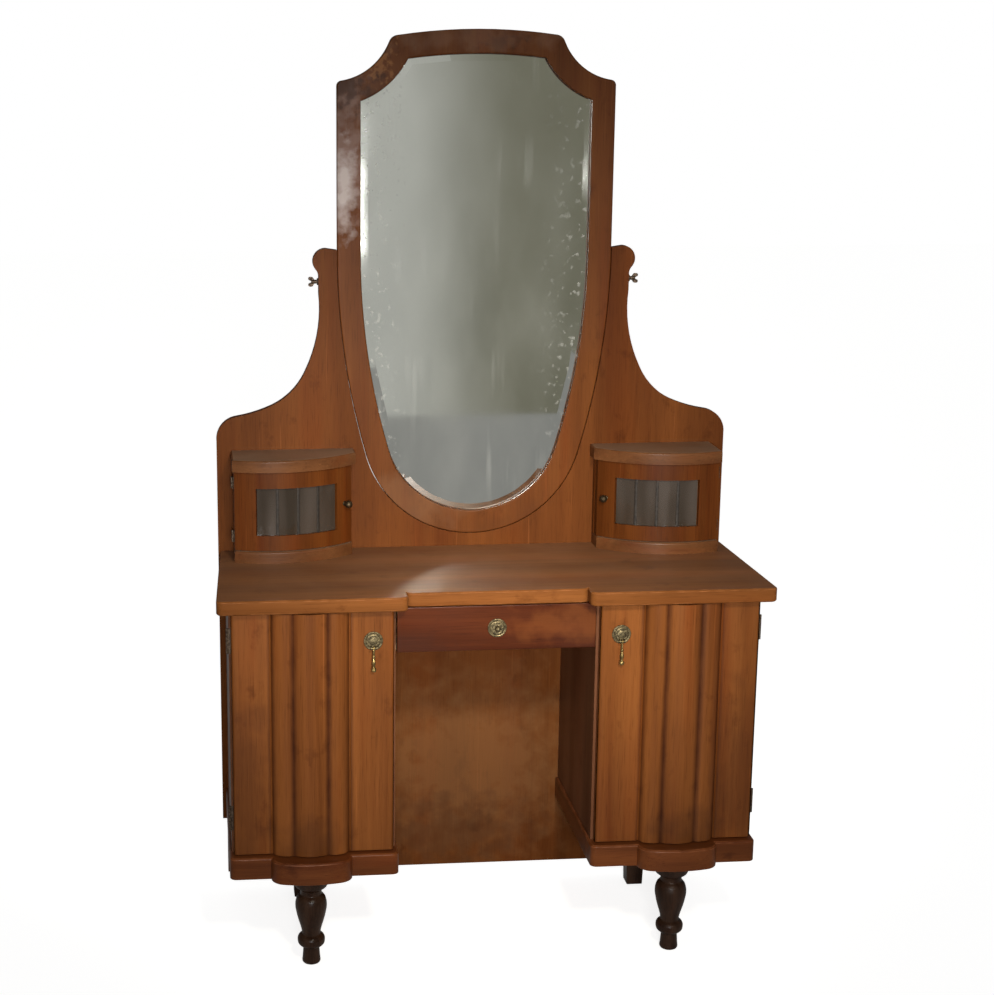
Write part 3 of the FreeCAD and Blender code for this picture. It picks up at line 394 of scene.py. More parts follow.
def clouded(finish, middle, reach, strength, colour, grit=18.0, breaks=0.45):
    """A cloud of paler or darker colour laid on the varnish round one place; where it stands for light or
    shade, that is said where it is used. Its half sizes, its strength and colour, then the scale and depth of
    the grit that breaks its edge."""
    tree = finish.node_tree
    own_place = object_place(tree)
    centred = wired(tree, "ShaderNodeMapping",
                    {"Vector": own_place, "Scale": [1 / size for size in reach],
                     "Location": [-at / size for at, size in zip(middle, reach)]})
    away = wired(tree, "ShaderNodeVectorMath", {0: centred.outputs["Vector"]}, operation="LENGTH")
    ragged = noise(tree, own_place, grit, detail=4.0, roughness=0.5)
    edge = reckon(tree, "ADD", away.outputs["Value"], ranged(tree, ragged, 0.30, 0.70, -breaks, breaks))
    full, gone = 0.35, 1.15
    laid_over(finish, ranged(tree, edge, full, gone, strength, 0.0), colour)


drawer_varnish = varnished_wood("dark drawer varnish", (0.068, 0.0150, 0.0034), grain="X", figure=9.0,
                                contrast=0.4)
clouded(drawer_varnish, (0.13, -0.15, 0.69), (0.10, 1.0, 0.04), 0.50, (0.155, 0.045, 0.010), 22.0, 0.6)
clouded(drawer_varnish, (-0.16, -0.15, 0.655), (0.09, 1.0, 0.03), 0.45, (0.040, 0.012, 0.006), 30.0, 0.6)
drawer_inside = varnished_wood("drawer inside", (0.31, 0.19, 0.095), grain="Y", gloss=0.62, pores=0.25)
eased("drawer_face", ["drawer_front"], "drawer", drawer_varnish, drawer_edge)
eased("drawer_cheeks", ["drawer_sides"], "drawer", drawer_inside, drawer_edge)
eased("drawer_tail", ["drawer_back"], "drawer", bare_wood, drawer_edge)
eased("drawer_base", ["drawer_bottom"], "drawer", drawer_inside, drawer_base_edge)
eased("runners", ["drawer_runners"], "carcass", drawer_inside, runner_edge)
eased("knee_rail", ["kneehole_rail"], "carcass", drawer_varnish, knee_rail_edge)


def point_parts(tree):
    """The X, Y and Z of the point that a geometry tree is at."""
    point = wired(tree, "GeometryNodeInputPosition").outputs["Position"]
    return wired(tree, "ShaderNodeSeparateXYZ", {"Vector": point}).outputs


def dovetail_tree():
    """A row of dovetails one above the other, each widening towards -Y, let into a face at X = 0."""
    tree, given, identifiers = new_tree("dovetails", Count="Int", Pitch="Float", Long="Float", Tall="Float",
                                        Deep="Float", Finish="Material")
    row = wired(tree, "GeometryNodeMeshLine",
                {"Count": given["Count"], "Offset": vector_of(tree, Z=given["Pitch"])})
    size = vector_of(tree, X=given["Deep"], Y=given["Long"], Z=given["Tall"])
    block = wired(tree, "GeometryNodeMeshCube", {"Size": size})
    spot = point_parts(tree)
    share = reckon(tree, "DIVIDE", spot["Y"], given["Long"])
    spread = reckon(tree, "SUBTRACT", 1.0, times(tree, share, dovetail_taper))
    widened = vector_of(tree, X=spot["X"], Y=spot["Y"], Z=times(tree, spot["Z"], spread))
    flared = wired(tree, "GeometryNodeSetPosition",
                   {"Geometry": block.outputs["Mesh"], "Position": widened})
    tails = wired(tree, "GeometryNodeInstanceOnPoints",
                  {"Points": row.outputs["Mesh"], "Instance": flared.outputs["Geometry"]})
    close_tree(tree, tails.outputs["Instances"], given["Finish"])
    return tree, identifiers


tail_tree, tail_inputs = dovetail_tree()
for side, sign in both_sides:
    place = Matrix.Translation((sign * drawer_half_width, drawer_face_rear - dovetail_long / 2,
                                dovetail_low))
    mesh = as_mesh(side + "_dovetails", tail_tree, tail_inputs, place, Count=dovetail_count,
                   Pitch=dovetail_pitch, Long=dovetail_long, Tall=dovetail_tall, Deep=dovetail_deep,
                   Finish=drawer_inside)
    piece(side + "_dovetails", mesh, "drawer")


# Pedestal doors
# Each door is a thick veneered leaf with three upright reeds in a shallow bow between two grooves.
# The veneer's grain stands upright, and painted shade makes the valleys browner.
door_middle_x, door_half_width = 0.3555, 0.1555
door_front_y, door_back_y = -0.16125, -0.14325
door_low, door_high = 0.241, 0.730
door_corner = 0.006
reeds_x = 0.361
reed_edge, reed_valley = 0.0755, 0.0335
groove_lip, groove_depth = 0.0025, 0.003
valley_height = 0.013
middle_reed_rise, side_reed_rise = 0.010, 0.0095
# Width of the painted shade along valleys and grooves: full within the first, gone beyond the second.
shade_core, shade_reach = 0.0004, 0.0085
front_share = 0.499
leaf_cuts, leaf_rows = 420, 9


def reed_circle(start, end, rise):
    """Centre and radius of the arc that rises above a chord; a point is (across, height before the door)."""
    chord = Vector(end) - Vector(start)
    radius = (chord.length ** 2 / 4 + rise ** 2) / 2 / rise
    outward = Vector((-chord.y, chord.x)).normalized()
    centre = (Vector(start) + Vector(end)) / 2 - outward * (radius - rise)
    return centre, radius


def reeded_tree():
    """A leaf drawn along Z from its plan, whose front follows reeds, grooves and rounded corners."""
    tree, given, identifiers = new_tree("reeded leaf", Wide="Float", Thick="Float", Low="Float", High="Float",
                                        Middle="Float", Edge="Float", Lip="Float", Groove="Float",
                                        Valley="Float", Corner="Float", Cuts="Int", Rows="Int",
                                        Finish="Material")
    plan = wired(tree, "GeometryNodeCurvePrimitiveQuadrilateral",
                 {"Width": given["Wide"], "Height": given["Thick"]})
    fine = wired(tree, "GeometryNodeSubdivideCurve", {"Curve": plan.outputs["Curve"], "Cuts": given["Cuts"]})
    spot = point_parts(tree)
    across = reckon(tree, "SUBTRACT", spot["X"], given["Middle"])
    off_middle = reckon(tree, "ABSOLUTE", across)
    height = ranged(tree, off_middle, given["Edge"], reckon(tree, "ADD", given["Edge"], given["Lip"]),
                    times(tree, given["Groove"], -1.0), 0.0)
    reeds = [reed_circle((-reed_valley, valley_height), (reed_valley, valley_height), middle_reed_rise),
             reed_circle((reed_valley, valley_height), (reed_edge, -groove_depth), side_reed_rise)]
    for (centre, radius), place in zip(reeds, (across, off_middle)):
        away = reckon(tree, "SUBTRACT", place, centre.x)
        inside = reckon(tree, "SUBTRACT", radius ** 2, times(tree, away, away))
        crest = reckon(tree, "ADD", reckon(tree, "SQRT", reckon(tree, "MAXIMUM", inside, 0.0)), centre.y)
        height = reckon(tree, "MAXIMUM", height, crest)
    to_edge = reckon(tree, "SUBTRACT", times(tree, given["Wide"], 0.5), reckon(tree, "ABSOLUTE", spot["X"]))
    lack = reckon(tree, "MAXIMUM", reckon(tree, "SUBTRACT", given["Corner"], to_edge), 0.0)
    square = reckon(tree, "SUBTRACT", times(tree, given["Corner"], given["Corner"]),
                    times(tree, lack, lack))
    rounding = reckon(tree, "SQRT", reckon(tree, "MAXIMUM", square, 0.0))
    height = reckon(tree, "SUBTRACT", height, reckon(tree, "SUBTRACT", given["Corner"], rounding))
    face = reckon(tree, "LESS_THAN", spot["Y"], times(tree, given["Thick"], -front_share))
    forward = vector_of(tree, Y=times(tree, times(tree, height, -1.0), face))
    shaped = wired(tree, "GeometryNodeSetPosition", {"Geometry": fine.outputs["Curve"], "Offset": forward})
    # Valleys and groove edges are marked as hollows, where the wood finish lays painted shade.
    nearness = [ranged(tree, reckon(tree, "ABSOLUTE", reckon(tree, "SUBTRACT", off_middle, given[key])),
                       shade_core, shade_reach, 1.0, 0.0) for key in ("Valley", "Edge")]
    hollow = times(tree, reckon(tree, "MAXIMUM", *nearness), face)
    marked = wired(tree, "GeometryNodeStoreNamedAttribute",
                   {"Geometry": shaped.outputs["Geometry"], "Name": "hollow", "Value": hollow},
                   data_type="FLOAT", domain="POINT")
    upright = wired(tree, "GeometryNodeCurvePrimitiveLine",
                    {"Start": vector_of(tree, Z=given["Low"]), "End": vector_of(tree, Z=given["High"])})
    rows = wired(tree, "GeometryNodeResampleCurve",
                 {"Curve": upright.outputs["Curve"], "Count": given["Rows"]})
    leaf = wired(tree, "GeometryNodeCurveToMesh",
                 {"Curve": rows.outputs["Curve"], "Profile Curve": marked.outputs["Geometry"],
                  "Fill Caps": True})
    close_tree(tree, leaf.outputs["Mesh"], given["Finish"])
    return tree, identifiers


door_veneer = varnished_wood("door veneer", (0.178, 0.057, 0.0130), shine=0.11, gloss=0.36, figure=10.0)
for way in (-1, 1):
    # painted shade at the outer edge of each door, where the light falls off
    clouded(door_veneer, (way * 0.485, -0.16, 0.36), (0.055, 1.0, 0.20), 0.40, (0.060, 0.018, 0.006))
    # darker near the bottom of each door
    clouded(door_veneer, (way * 0.375, -0.16, 0.26), (0.07, 1.0, 0.06), 0.45, (0.050, 0.017, 0.006))
leaf_tree, leaf_inputs = reeded_tree()
for side, sign in both_sides:
    place = Matrix.Translation((sign * door_middle_x, (door_front_y + door_back_y) / 2, 0.0))
    mesh = as_mesh(side + "_reeded_door", leaf_tree, leaf_inputs, place, crease=24,
                   Wide=2 * door_half_width, Thick=door_back_y - door_front_y, Low=door_low, High=door_high,
                   Middle=sign * (reeds_x - door_middle_x), Edge=reed_edge, Lip=groove_lip,
                   Groove=groove_depth, Valley=reed_valley, Corner=door_corner, Cuts=leaf_cuts,
                   Rows=leaf_rows, Finish=door_veneer)
    piece(side + "_reeded_door", mesh, side + "_door", [side + "_door"])


# Iron hinges
# Pairs of butt hinges, dark with age: one leaf on the case and one on the door, with the pin through
# their knuckles.
butt_edge = 0.0003


def metal(name, colour, tarnish, polished, dull, scale, metallic):
    """Old metal: patches of tarnish in the hollows, uneven polish and a fine hammered surface."""
    finish, tree, surface = new_finish(name)
    patches = noise(tree, object_place(tree), scale, detail=5.0, roughness=0.62)
    relief = wired(tree, "ShaderNodeBump", {"Height": patches, "Strength": 0.3, "Distance": 0.0003})
    fed(tree, surface, {"Base Color": ramped(tree, patches, 0.40, tarnish, 0.60, colour).outputs["Color"],
                        "Roughness": ranged(tree, patches, 0.35, 0.65, dull, polished),
                        "Normal": relief.outputs["Normal"], "Metallic": metallic})
    return finish


dark_iron = metal("dark iron", (0.13, 0.09, 0.06), (0.040, 0.024, 0.015), polished=0.40, dull=0.65,
                  scale=220.0, metallic=0.7)
eased("case_hinge_leaves", ["pedestal_hinge_leaves"], "carcass", dark_iron, butt_edge)
for side in ("right", "left"):
    eased(side + "_door_butts", [side + "_door_hinge_leaves"], side + "_door", dark_iron, butt_edge)


# Brass rosettes and drops
# A cast rosette is pinned to each door and to the drawer: a beaded rim round eight petals. Between two
# lugs of the door's rosette hangs a turned drop that swings on a pin.
rosette_radius, rosette_thickness = 0.0185, 0.004
petal_count, bead_count, plate_sides = 8, 30, 72
plate_share = 0.36
door_rosette_place = (0.240, -0.16125, 0.669)
drawer_rosette_place = (0.0, -0.14925, 0.68475)
brass_edge, drop_edge = 0.0003, 0.0002
aged_brass = metal("aged brass", (0.20, 0.155, 0.078), (0.060, 0.046, 0.024), polished=0.44, dull=0.64,
                   scale=240.0, metallic=0.85)
rubbed_brass = metal("rubbed brass", (0.42, 0.30, 0.11), (0.16, 0.11, 0.04), polished=0.34, dull=0.52,
                     scale=180.0, metallic=0.9)


def united(tree, parts):
    """Several geometries as one."""
    joined = wired(tree, "GeometryNodeJoinGeometry")
    for part in parts:
        tree.links.new(part, joined.inputs["Geometry"])
    return joined.outputs["Geometry"]


def rosette_tree():
    """Petals round a boss inside a beaded rim, on a base that is turned about Z."""
    tree, given, identifiers = new_tree("rosette", Radius="Float", Thickness="Float", Petals="Int",
                                        Beads="Int", Finish="Material")

    def raised(share):
        return vector_of(tree, Z=times(tree, given["Thickness"], share))

    def moved(geometry, share, **scale):
        return wired(tree, "GeometryNodeTransform",
                     {"Geometry": geometry, "Translation": raised(share), **scale}).outputs["Geometry"]

    def ball(segments):
        return wired(tree, "GeometryNodeMeshUVSphere",
                     {"Segments": segments, "Rings": segments // 2,
                      "Radius": given["Radius"]}).outputs["Mesh"]

    def circle_of(count, share, lift, segments, scale, **turning):
        """Flattened balls round the middle: the circle's share of the radius, its height, and the balls."""
        circle = wired(tree, "GeometryNodeMeshCircle",
                       {"Vertices": count, "Radius": times(tree, given["Radius"], share)})
        points = wired(tree, "GeometryNodeSetPosition",
                       {"Geometry": circle.outputs["Mesh"], "Offset": raised(lift)})
        feeds = {"Points": points.outputs["Geometry"], "Instance": ball(segments), "Scale": scale}
        return wired(tree, "GeometryNodeInstanceOnPoints", {**feeds, **turning}).outputs["Instances"]

    spot = point_parts(tree)
    outward = vector_of(tree, Z=reckon(tree, "ARCTAN2", spot["Y"], spot["X"]))
    petals = circle_of(given["Petals"], share=0.50, lift=0.42, segments=20, scale=(0.27, 0.125, 0.085),
                       Rotation=outward)
    leaves = circle_of(given["Petals"], share=0.73, lift=plate_share, segments=12,
                       scale=(0.07, 0.11, 0.06), Rotation=outward)
    beads = circle_of(given["Beads"], share=0.915, lift=plate_share, segments=10,
                      scale=(0.062, 0.062, 0.055))
    boss = moved(ball(24), 0.5, Scale=(0.20, 0.20, 0.105))
    base = wired(tree, "GeometryNodeMeshCylinder",
                 {"Vertices": plate_sides, "Radius": given["Radius"],
                  "Depth": times(tree, given["Thickness"], plate_share)})
    plate = moved(base.outputs["Mesh"], plate_share / 2)
    close_tree(tree, united(tree, (petals, leaves, beads, boss, plate)), given["Finish"])
    return tree, identifiers


rose_tree, rose_inputs = rosette_tree()
to_front = Matrix.Rotation(math.pi / 2, 4, "X")


def rosette(name, place):
    return as_mesh(name, rose_tree, rose_inputs, Matrix.Translation(place) @ to_front,
                   Radius=rosette_radius, Thickness=rosette_thickness, Petals=petal_count,
                   Beads=bead_count, Finish=aged_brass)


for side, sign in both_sides:
    x, y, z = door_rosette_place
    eased(side + "_lugs_and_pin", [side + "_handle_plate"], side + "_door", aged_brass, brass_edge)
    piece(side + "_rosette", rosette(side + "_rosette", (sign * x, y, z)), side + "_door")
    eased(side + "_drop", [side + "_drop_pull"], side + "_drop", rubbed_brass, drop_edge,
          sharp=35)
eased("drawer_knob_stem", ["drawer_knob"], "drawer", aged_brass, brass_edge)
piece("drawer_rosette", rosette("drawer_rosette", drawer_rosette_place), "drawer")


# Back boards
# Two tall veneered boards, joined edge to edge at the middle, close the rear. Above the table they
# sweep up into two ears round the mirror.
board_front = 0.19075
veneer_skin = 0.006
tall_board_edge = 0.0014


def clouded_front(finish, clouds):
    """Clouds that stay on the front of the boards and of the mirror's frame. Each row is X and Z of the
    middle, half width, half height, strength, colour, and then the scale and depth of the grit."""
    for x, z, wide, tall, *rest in clouds:
        clouded(finish, (x, board_front, z), (wide, veneer_skin, tall), *rest)


board_veneer = varnished_wood("back board veneer", (0.120, 0.036, 0.0075), shine=0.05, gloss=0.42,
                              figure=5.0, stains=0.40)
# Painted light and shadow on the kneehole board, then two more darker patches: near the floor, and on the
# left above the slab.
clouded_front(board_veneer, (
    # painted light: the lower kneehole board is made paler
    (0.0, 0.28, 0.30, 0.22, 0.42, (0.200, 0.094, 0.037), 26.0, 0.35),
    # painted shadow under the drawer and the slab
    (0.0, 0.56, 0.30, 0.13, 0.40, (0.080, 0.024, 0.006), 22.0, 0.35),
    (-0.06, 0.12, 0.20, 0.09, 0.40, (0.060, 0.026, 0.012), 30.0, 0.6),
    (-0.30, 0.88, 0.12, 0.09, 0.30, (0.070, 0.021, 0.007)),
))
for side in ("right", "left"):
    eased(side + "_tall_board", [side + "_back_board"], "carcass", board_veneer, tall_board_edge)


# Small cabinets
# A bowed cabinet stands on each end of the slab: base and cap cut to a bow, two side boards, and a
# curved door whose window is made of four glass strips held in dark cames.
cabinet_axis_x, cabinet_axis_y = 0.4135, 0.30675
bow_radius = 0.216
window_start, window_end = math.radians(-35.0), math.radians(9.994)
strip_count = 4
strip_angle = (window_end - window_start) / strip_count
strip_width, strip_thickness = 0.03994, 0.002
strip_low, strip_high = 0.812, 0.91675
strip_columns, strip_rows = 14, 28
wave_scale, wave_depth = 55.0, 0.0002
came_low, came_high = 0.816, 0.913
came_width, came_web, came_reach, came_half_round = 0.006, 0.0012, 0.00175, 0.25
came_sides = 24
knob_angle, knob_height, knob_length, knob_radius = math.radians(-39.99), 0.868, 0.0203, 0.0079
knob_profile = (
    (0.00, 0.62), (0.09, 0.60), (0.13, 0.43), (0.26, 0.50), (0.33, 0.76), (0.43, 0.91), (0.60, 0.99),
    (0.76, 0.92), (0.88, 0.72), (0.95, 0.48), (1.00, 0.06),
)
door_face_radius = 0.2227
lid_edge, cheek_edge, small_butt_edge = 0.0010, 0.0008, 0.0002
cap_veneer = varnished_wood("cabinet cap veneer", (0.110, 0.041, 0.0135), grain="X", figure=12.0)
# The caps' tops are paler with dust and a painted sheen.
dust_and_sheen(cap_veneer, 0.42, (0.36, 0.255, 0.175))
cabinet_veneer = varnished_wood("cabinet door veneer", (0.096, 0.0265, 0.0046), shine=0.09, gloss=0.38,
                                figure=12.0)


def drawn_glass():
    """Old drawn glass with a brown tint, paler and darker in upright streaks that are painted reflections."""
    finish, tree, surface = new_finish("old window glass")
    upright = wired(tree, "ShaderNodeMapping", {"Vector": object_place(tree), "Scale": (1.0, 1.0, 0.16)})
    streak = noise(tree, upright.outputs["Vector"], scale=30.0, detail=1.0, roughness=0.4)
    # The pale and dark streaks are painted reflections on the glass.
    dark_tea, pale_tea = (0.062, 0.044, 0.029), (0.125, 0.096, 0.075)
    ramp = ramped(tree, streak, 0.30, dark_tea, 0.70, pale_tea)
    fed(tree, surface, {"Base Color": ramp.outputs["Color"], "Transmission Weight": 0.55, "IOR": 1.45,
                        "Roughness": ranged(tree, streak, 0.35, 0.65, 0.06, 0.22)})
    return finish


def bow_row(name, upright):
    """Copies of one upright piece, made by a function at the origin, set side by side round a bow."""
    tree, given, identifiers = new_tree(name, Count="Int", Start="Float", Step="Float", Radius="Float",
                                        Wide="Float", Thick="Float", Low="Float", High="Float",
                                        Finish="Material")
    row = wired(tree, "GeometryNodeMeshLine", {"Count": given["Count"], "Offset": (0.0, 0.0, 0.0)})
    index = wired(tree, "GeometryNodeInputIndex").outputs["Index"]
    angle = reckon(tree, "ADD", given["Start"], times(tree, given["Step"], index))
    middle = times(tree, reckon(tree, "ADD", given["Low"], given["High"]), 0.5)
    aside = times(tree, reckon(tree, "SINE", angle), given["Radius"])
    ahead = times(tree, reckon(tree, "COSINE", angle), given["Radius"])
    spot = vector_of(tree, X=aside, Y=times(tree, ahead, -1.0), Z=middle)
    placed = wired(tree, "GeometryNodeSetPosition", {"Geometry": row.outputs["Mesh"], "Position": spot})
    tall = reckon(tree, "SUBTRACT", given["High"], given["Low"])
    copies = wired(tree, "GeometryNodeInstanceOnPoints",
                   {"Points": placed.outputs["Geometry"], "Instance": upright(tree, given, tall),
                    "Rotation": vector_of(tree, Z=angle)})
    close_tree(tree, copies.outputs["Instances"], given["Finish"])
    return tree, identifiers


def wavy_strip(tree, given, tall):
    """One flat strip whose two faces swell and dip together, as drawn glass does."""
    strip = wired(tree, "GeometryNodeMeshCube",
                  {"Size": vector_of(tree, X=given["Wide"], Y=given["Thick"], Z=tall),
                   "Vertices X": strip_columns, "Vertices Z": strip_rows})
    place = wired(tree, "GeometryNodeInputPosition").outputs["Position"]
    flat = wired(tree, "ShaderNodeVectorMath", {0: place, 1: (1.0, 0.0, 0.35)}, operation="MULTIPLY")
    wave = noise(tree, flat.outputs["Vector"], wave_scale, detail=0.0, roughness=0.5)
    swell = vector_of(tree, Y=ranged(tree, wave, 0.3, 0.7, -wave_depth, wave_depth))
    return wired(tree, "GeometryNodeSetPosition",
                 {"Geometry": strip.outputs["Mesh"], "Offset": swell}).outputs["Geometry"]


def half_round_came(tree, given, tall):
    """A thin web between two half-round flanges that grip the glass on either side."""
    size = vector_of(tree, X=given["Thick"], Y=2 * came_reach, Z=tall)
    parts = [wired(tree, "GeometryNodeMeshCube", {"Size": size}).outputs["Mesh"]]
    rod = wired(tree, "GeometryNodeMeshCylinder",
                {"Vertices": came_sides, "Radius": times(tree, given["Wide"], 0.5), "Depth": tall})
    for way in (-1, 1):
        flange = wired(tree, "GeometryNodeTransform",
                       {"Geometry": rod.outputs["Mesh"], "Translation": (0.0, way * came_reach, 0.0),
                        "Scale": (1.0, came_half_round, 1.0)})
        parts.append(flange.outputs["Geometry"])
    return united(tree, parts)


window_glass = drawn_glass()
came_metal = metal("dark cames", (0.035, 0.027, 0.02), (0.015, 0.011, 0.008), polished=0.50, dull=0.70,
                   scale=180.0, metallic=0.4)
knob_bronze = metal("knob bronze", (0.12, 0.085, 0.045), (0.04, 0.028, 0.016), polished=0.35, dull=0.55,
                    scale=240.0, metallic=0.9)
strip_tree, strip_inputs = bow_row("glass strips", wavy_strip)
came_tree, came_inputs = bow_row("cames", half_round_came)
for side, sign in both_sides:
    door_body = side + "_cabinet_door"
    axis_place = Matrix.Translation((sign * cabinet_axis_x, cabinet_axis_y, 0.0))
    strips = as_mesh(side + "_glass_strips", strip_tree, strip_inputs, axis_place, Count=strip_count,
                     Start=sign * (window_start + strip_angle / 2), Step=sign * strip_angle,
                     Radius=bow_radius * math.cos(strip_angle / 2), Wide=strip_width, Thick=strip_thickness,
                     Low=strip_low, High=strip_high, Finish=window_glass)
    piece(side + "_glass_strips", strips, door_body, [side + "_cabinet_panes"])
    bars = as_mesh(side + "_cames", came_tree, came_inputs, axis_place, Count=strip_count - 1,
                   Start=sign * (window_start + strip_angle), Step=sign * strip_angle, Radius=bow_radius,
                   Wide=came_width, Thick=came_web, Low=came_low, High=came_high, Finish=came_metal)
    piece(side + "_cames", bars, door_body, [side + "_cabinet_cames"])
    knob_foot = Matrix.Translation((0.0, -door_face_radius, knob_height))
    turn_out = Matrix.Rotation(sign * knob_angle, 4, "Z") @ knob_foot @ to_front
    knob = turned(side + "_small_knob", knob_profile, knob_length, knob_radius, knob_bronze,
                  axis_place @ turn_out, steps=60, sides=40)
    piece(side + "_small_knob", knob, door_body, [side + "_cabinet_knob"])
    eased(side + "_cabinet_foot", [side + "_cabinet_base"], "carcass", cap_veneer, lid_edge)
    eased(side + "_cabinet_lid", [side + "_cabinet_cap"], "carcass", cap_veneer, lid_edge)
    eased(side + "_cabinet_cheeks", [side + "_cabinet_sides"], "carcass", cabinet_veneer, cheek_edge)
    eased(side + "_bowed_door", [door_body], door_body, cabinet_veneer, lid_edge, sharp=35)
    eased(side + "_small_butts", [door_body + "_leaves"], door_body, dark_iron, small_butt_edge)
eased("cabinet_case_butts", ["cabinet_hinge_leaves"], "carcass", dark_iron, small_butt_edge)


# Mirror
# A bevelled silvered glass in a veneered frame with scooped shoulders and an arched top. It lies
# in a rebate, behind it a thin board held by turn clips.
frame_edge, glass_edge, clip_edge = 0.0006, 0.0002, 0.0003
worn_edge_start, worn_edge_end = 0.13, 0.235
frame_veneer = varnished_wood("mirror frame veneer", (0.132, 0.041, 0.0090), contrast=0.20, shine=0.07,
                              gloss=0.38, figure=10.0)
# Some clouds on the frame are painted highlights: the glare of window light on its left side, and a highlight
# with dust low on the left.
clouded_front(frame_veneer, (
    # painted highlight: glare of window light on the left side of the frame
    (-0.262, 1.555, 0.045, 0.15, 0.40, (0.33, 0.22, 0.18), 40.0, 0.6),
    # painted highlight: the brightest part of that glare
    (-0.266, 1.495, 0.026, 0.085, 0.70, (0.62, 0.54, 0.50), 34.0, 0.40),
    (-0.250, 1.700, 0.06, 0.04, 0.65, (0.034, 0.012, 0.004), 48.0, 1.0),
    (-0.196, 1.752, 0.024, 0.040, 0.55, (0.33, 0.13, 0.040), 90.0, 1.1),
    (0.050, 1.782, 0.045, 0.015, 0.45, (0.040, 0.014, 0.005), 70.0, 1.1),
    (0.0, 1.79, 0.20, 0.03, 0.22, (0.27, 0.155, 0.10), 30.0, 0.6),
    (0.02, 0.79, 0.20, 0.06, 0.45, (0.075, 0.024, 0.007)),
    # dust with a painted highlight, low on the left of the frame
    (-0.12, 0.86, 0.10, 0.07, 0.16, (0.26, 0.16, 0.09)),
))


def silvered_glass():
    """Old silvering: smears and dusty runs on the glass, dark specks where the silver fails at the sides."""
    finish, tree, surface = new_finish("old silvered glass")
    own_place = object_place(tree)
    aside = wired(tree, "ShaderNodeSeparateXYZ", {"Vector": own_place}).outputs["X"]
    beside = ranged(tree, reckon(tree, "ABSOLUTE", aside), worn_edge_start, worn_edge_end, 0.0, 1.0)
    clean_silver, failed_silver = (0.82, 0.83, 0.77, 1.0), (0.55, 0.53, 0.46)
    run_dust, smear_dust, speck_dust = 0.12, 0.06, 0.35

    def pattern(scale, detail, stretch):
        vector = wired(tree, "ShaderNodeMapping", {"Vector": own_place, "Scale": (1.0, 1.0, stretch)})
        return noise(tree, vector.outputs["Vector"], scale, detail, 0.5)

    smear = pattern(scale=7.0, detail=4.0, stretch=0.45)
    runs = times(tree, ranged(tree, pattern(34.0, 3.0, 0.06), 0.58, 0.72, 0.0, 1.0),
                 ranged(tree, pattern(5.0, 1.0, 1.0), 0.45, 0.62, 0.0, 1.0))
    specks = times(tree, ranged(tree, pattern(95.0, 4.0, 0.8), 0.60, 0.68, 0.0, 1.0), beside)
    film = reckon(tree, "ADD", times(tree, runs, run_dust),
                  ranged(tree, smear, 0.40, 0.72, 0.0, smear_dust))
    dust = reckon(tree, "ADD", film, times(tree, specks, speck_dust))
    silver = blended(tree, "MIX", times(tree, specks, 0.5), clean_silver, failed_silver)
    fed(tree, surface, {"Base Color": silver, "Metallic": reckon(tree, "SUBTRACT", 1.0, dust),
                        "Roughness": ranged(tree, smear, 0.35, 0.75, 0.015, 0.075)})
    return finish


silvered = silvered_glass()
eased("scooped_frame", ["mirror_frame"], "mirror", frame_veneer, frame_edge)
eased("silvered_glass", ["mirror_glass"], "mirror", silvered, glass_edge, segments=1,
      crease=4)
eased("mirror_back", ["mirror_backing"], "mirror", bare_wood, frame_edge)
eased("turn_clips", ["mirror_clips"], "mirror", dark_iron, clip_edge)


# Wing screws
# An iron wing screw goes through each ear into the mirror's frame. The mirror tilts on the two screws
# and is held by tightening them.
wing_edge = 0.0004
for side in ("right", "left"):
    eased(side + "_wings", [side + "_wing_screw"], side + "_screw", dark_iron, wing_edge)


# Floor, studio wall, lamps and world
# A white floor that keeps the table's shadow, a pale wall behind the camera that only the mirror and
# the varnish can see, lamps at the front and an even pale surround.
floor_half = 14.0
wall_y, wall_half, wall_height = -5.2, 6, 5
wall_fade_start, wall_fade_end = 0.2, 1.5
wall_pale, wall_grey = (0.99, 1.00, 0.97), (0.39, 0.38, 0.30)
wall_glow, floor_glow, floor_gleam = 0.21, 0.80, 0.05
surround_light, surround_gleam = 0.25, 0.10


def stage_sheet(name, corners, finish):
    mesh = bpy.data.meshes.new(name)
    mesh.from_pydata(corners, [], [tuple(range(len(corners)))])
    mesh.materials.append(finish)
    made = bpy.data.objects.new(name, mesh)
    bpy.context.scene.collection.objects.link(made)
    return made


def white_floor():
    """White paint that glows where the camera sees it, so that the ground is as white as the surround."""
    finish, tree, surface = new_finish("white floor")
    rays = wired(tree, "ShaderNodeLightPath")
    glow = reckon(tree, "ADD", times(tree, rays.outputs["Is Camera Ray"], floor_glow),
                  times(tree, rays.outputs["Is Glossy Ray"], floor_gleam))
    fed(tree, surface, {"Base Color": (0.80, 0.80, 0.79, 1.0), "Roughness": 0.8, "Specular IOR Level": 0.05,
                        "Emission Color": (1.0, 1.0, 1.0, 1.0), "Emission Strength": glow})
    return finish


def studio_wall():
    """Pale paint that turns greyer towards the right, as the light falls off."""
    finish, tree, surface = new_finish("studio wall paint")
    aside = wired(tree, "ShaderNodeSeparateXYZ", {"Vector": object_place(tree)}).outputs["X"]
    ramp = ramped(tree, ranged(tree, aside, wall_fade_start, wall_fade_end, 0.0, 1.0),
                  0.12, wall_pale, 0.66, wall_grey)
    ramp.color_ramp.interpolation = "EASE"
    fed(tree, surface, {"Base Color": ramp.outputs["Color"], "Roughness": 0.9, "Specular IOR Level": 0.05,
                        "Emission Color": ramp.outputs["Color"], "Emission Strength": wall_glow})
    return finish


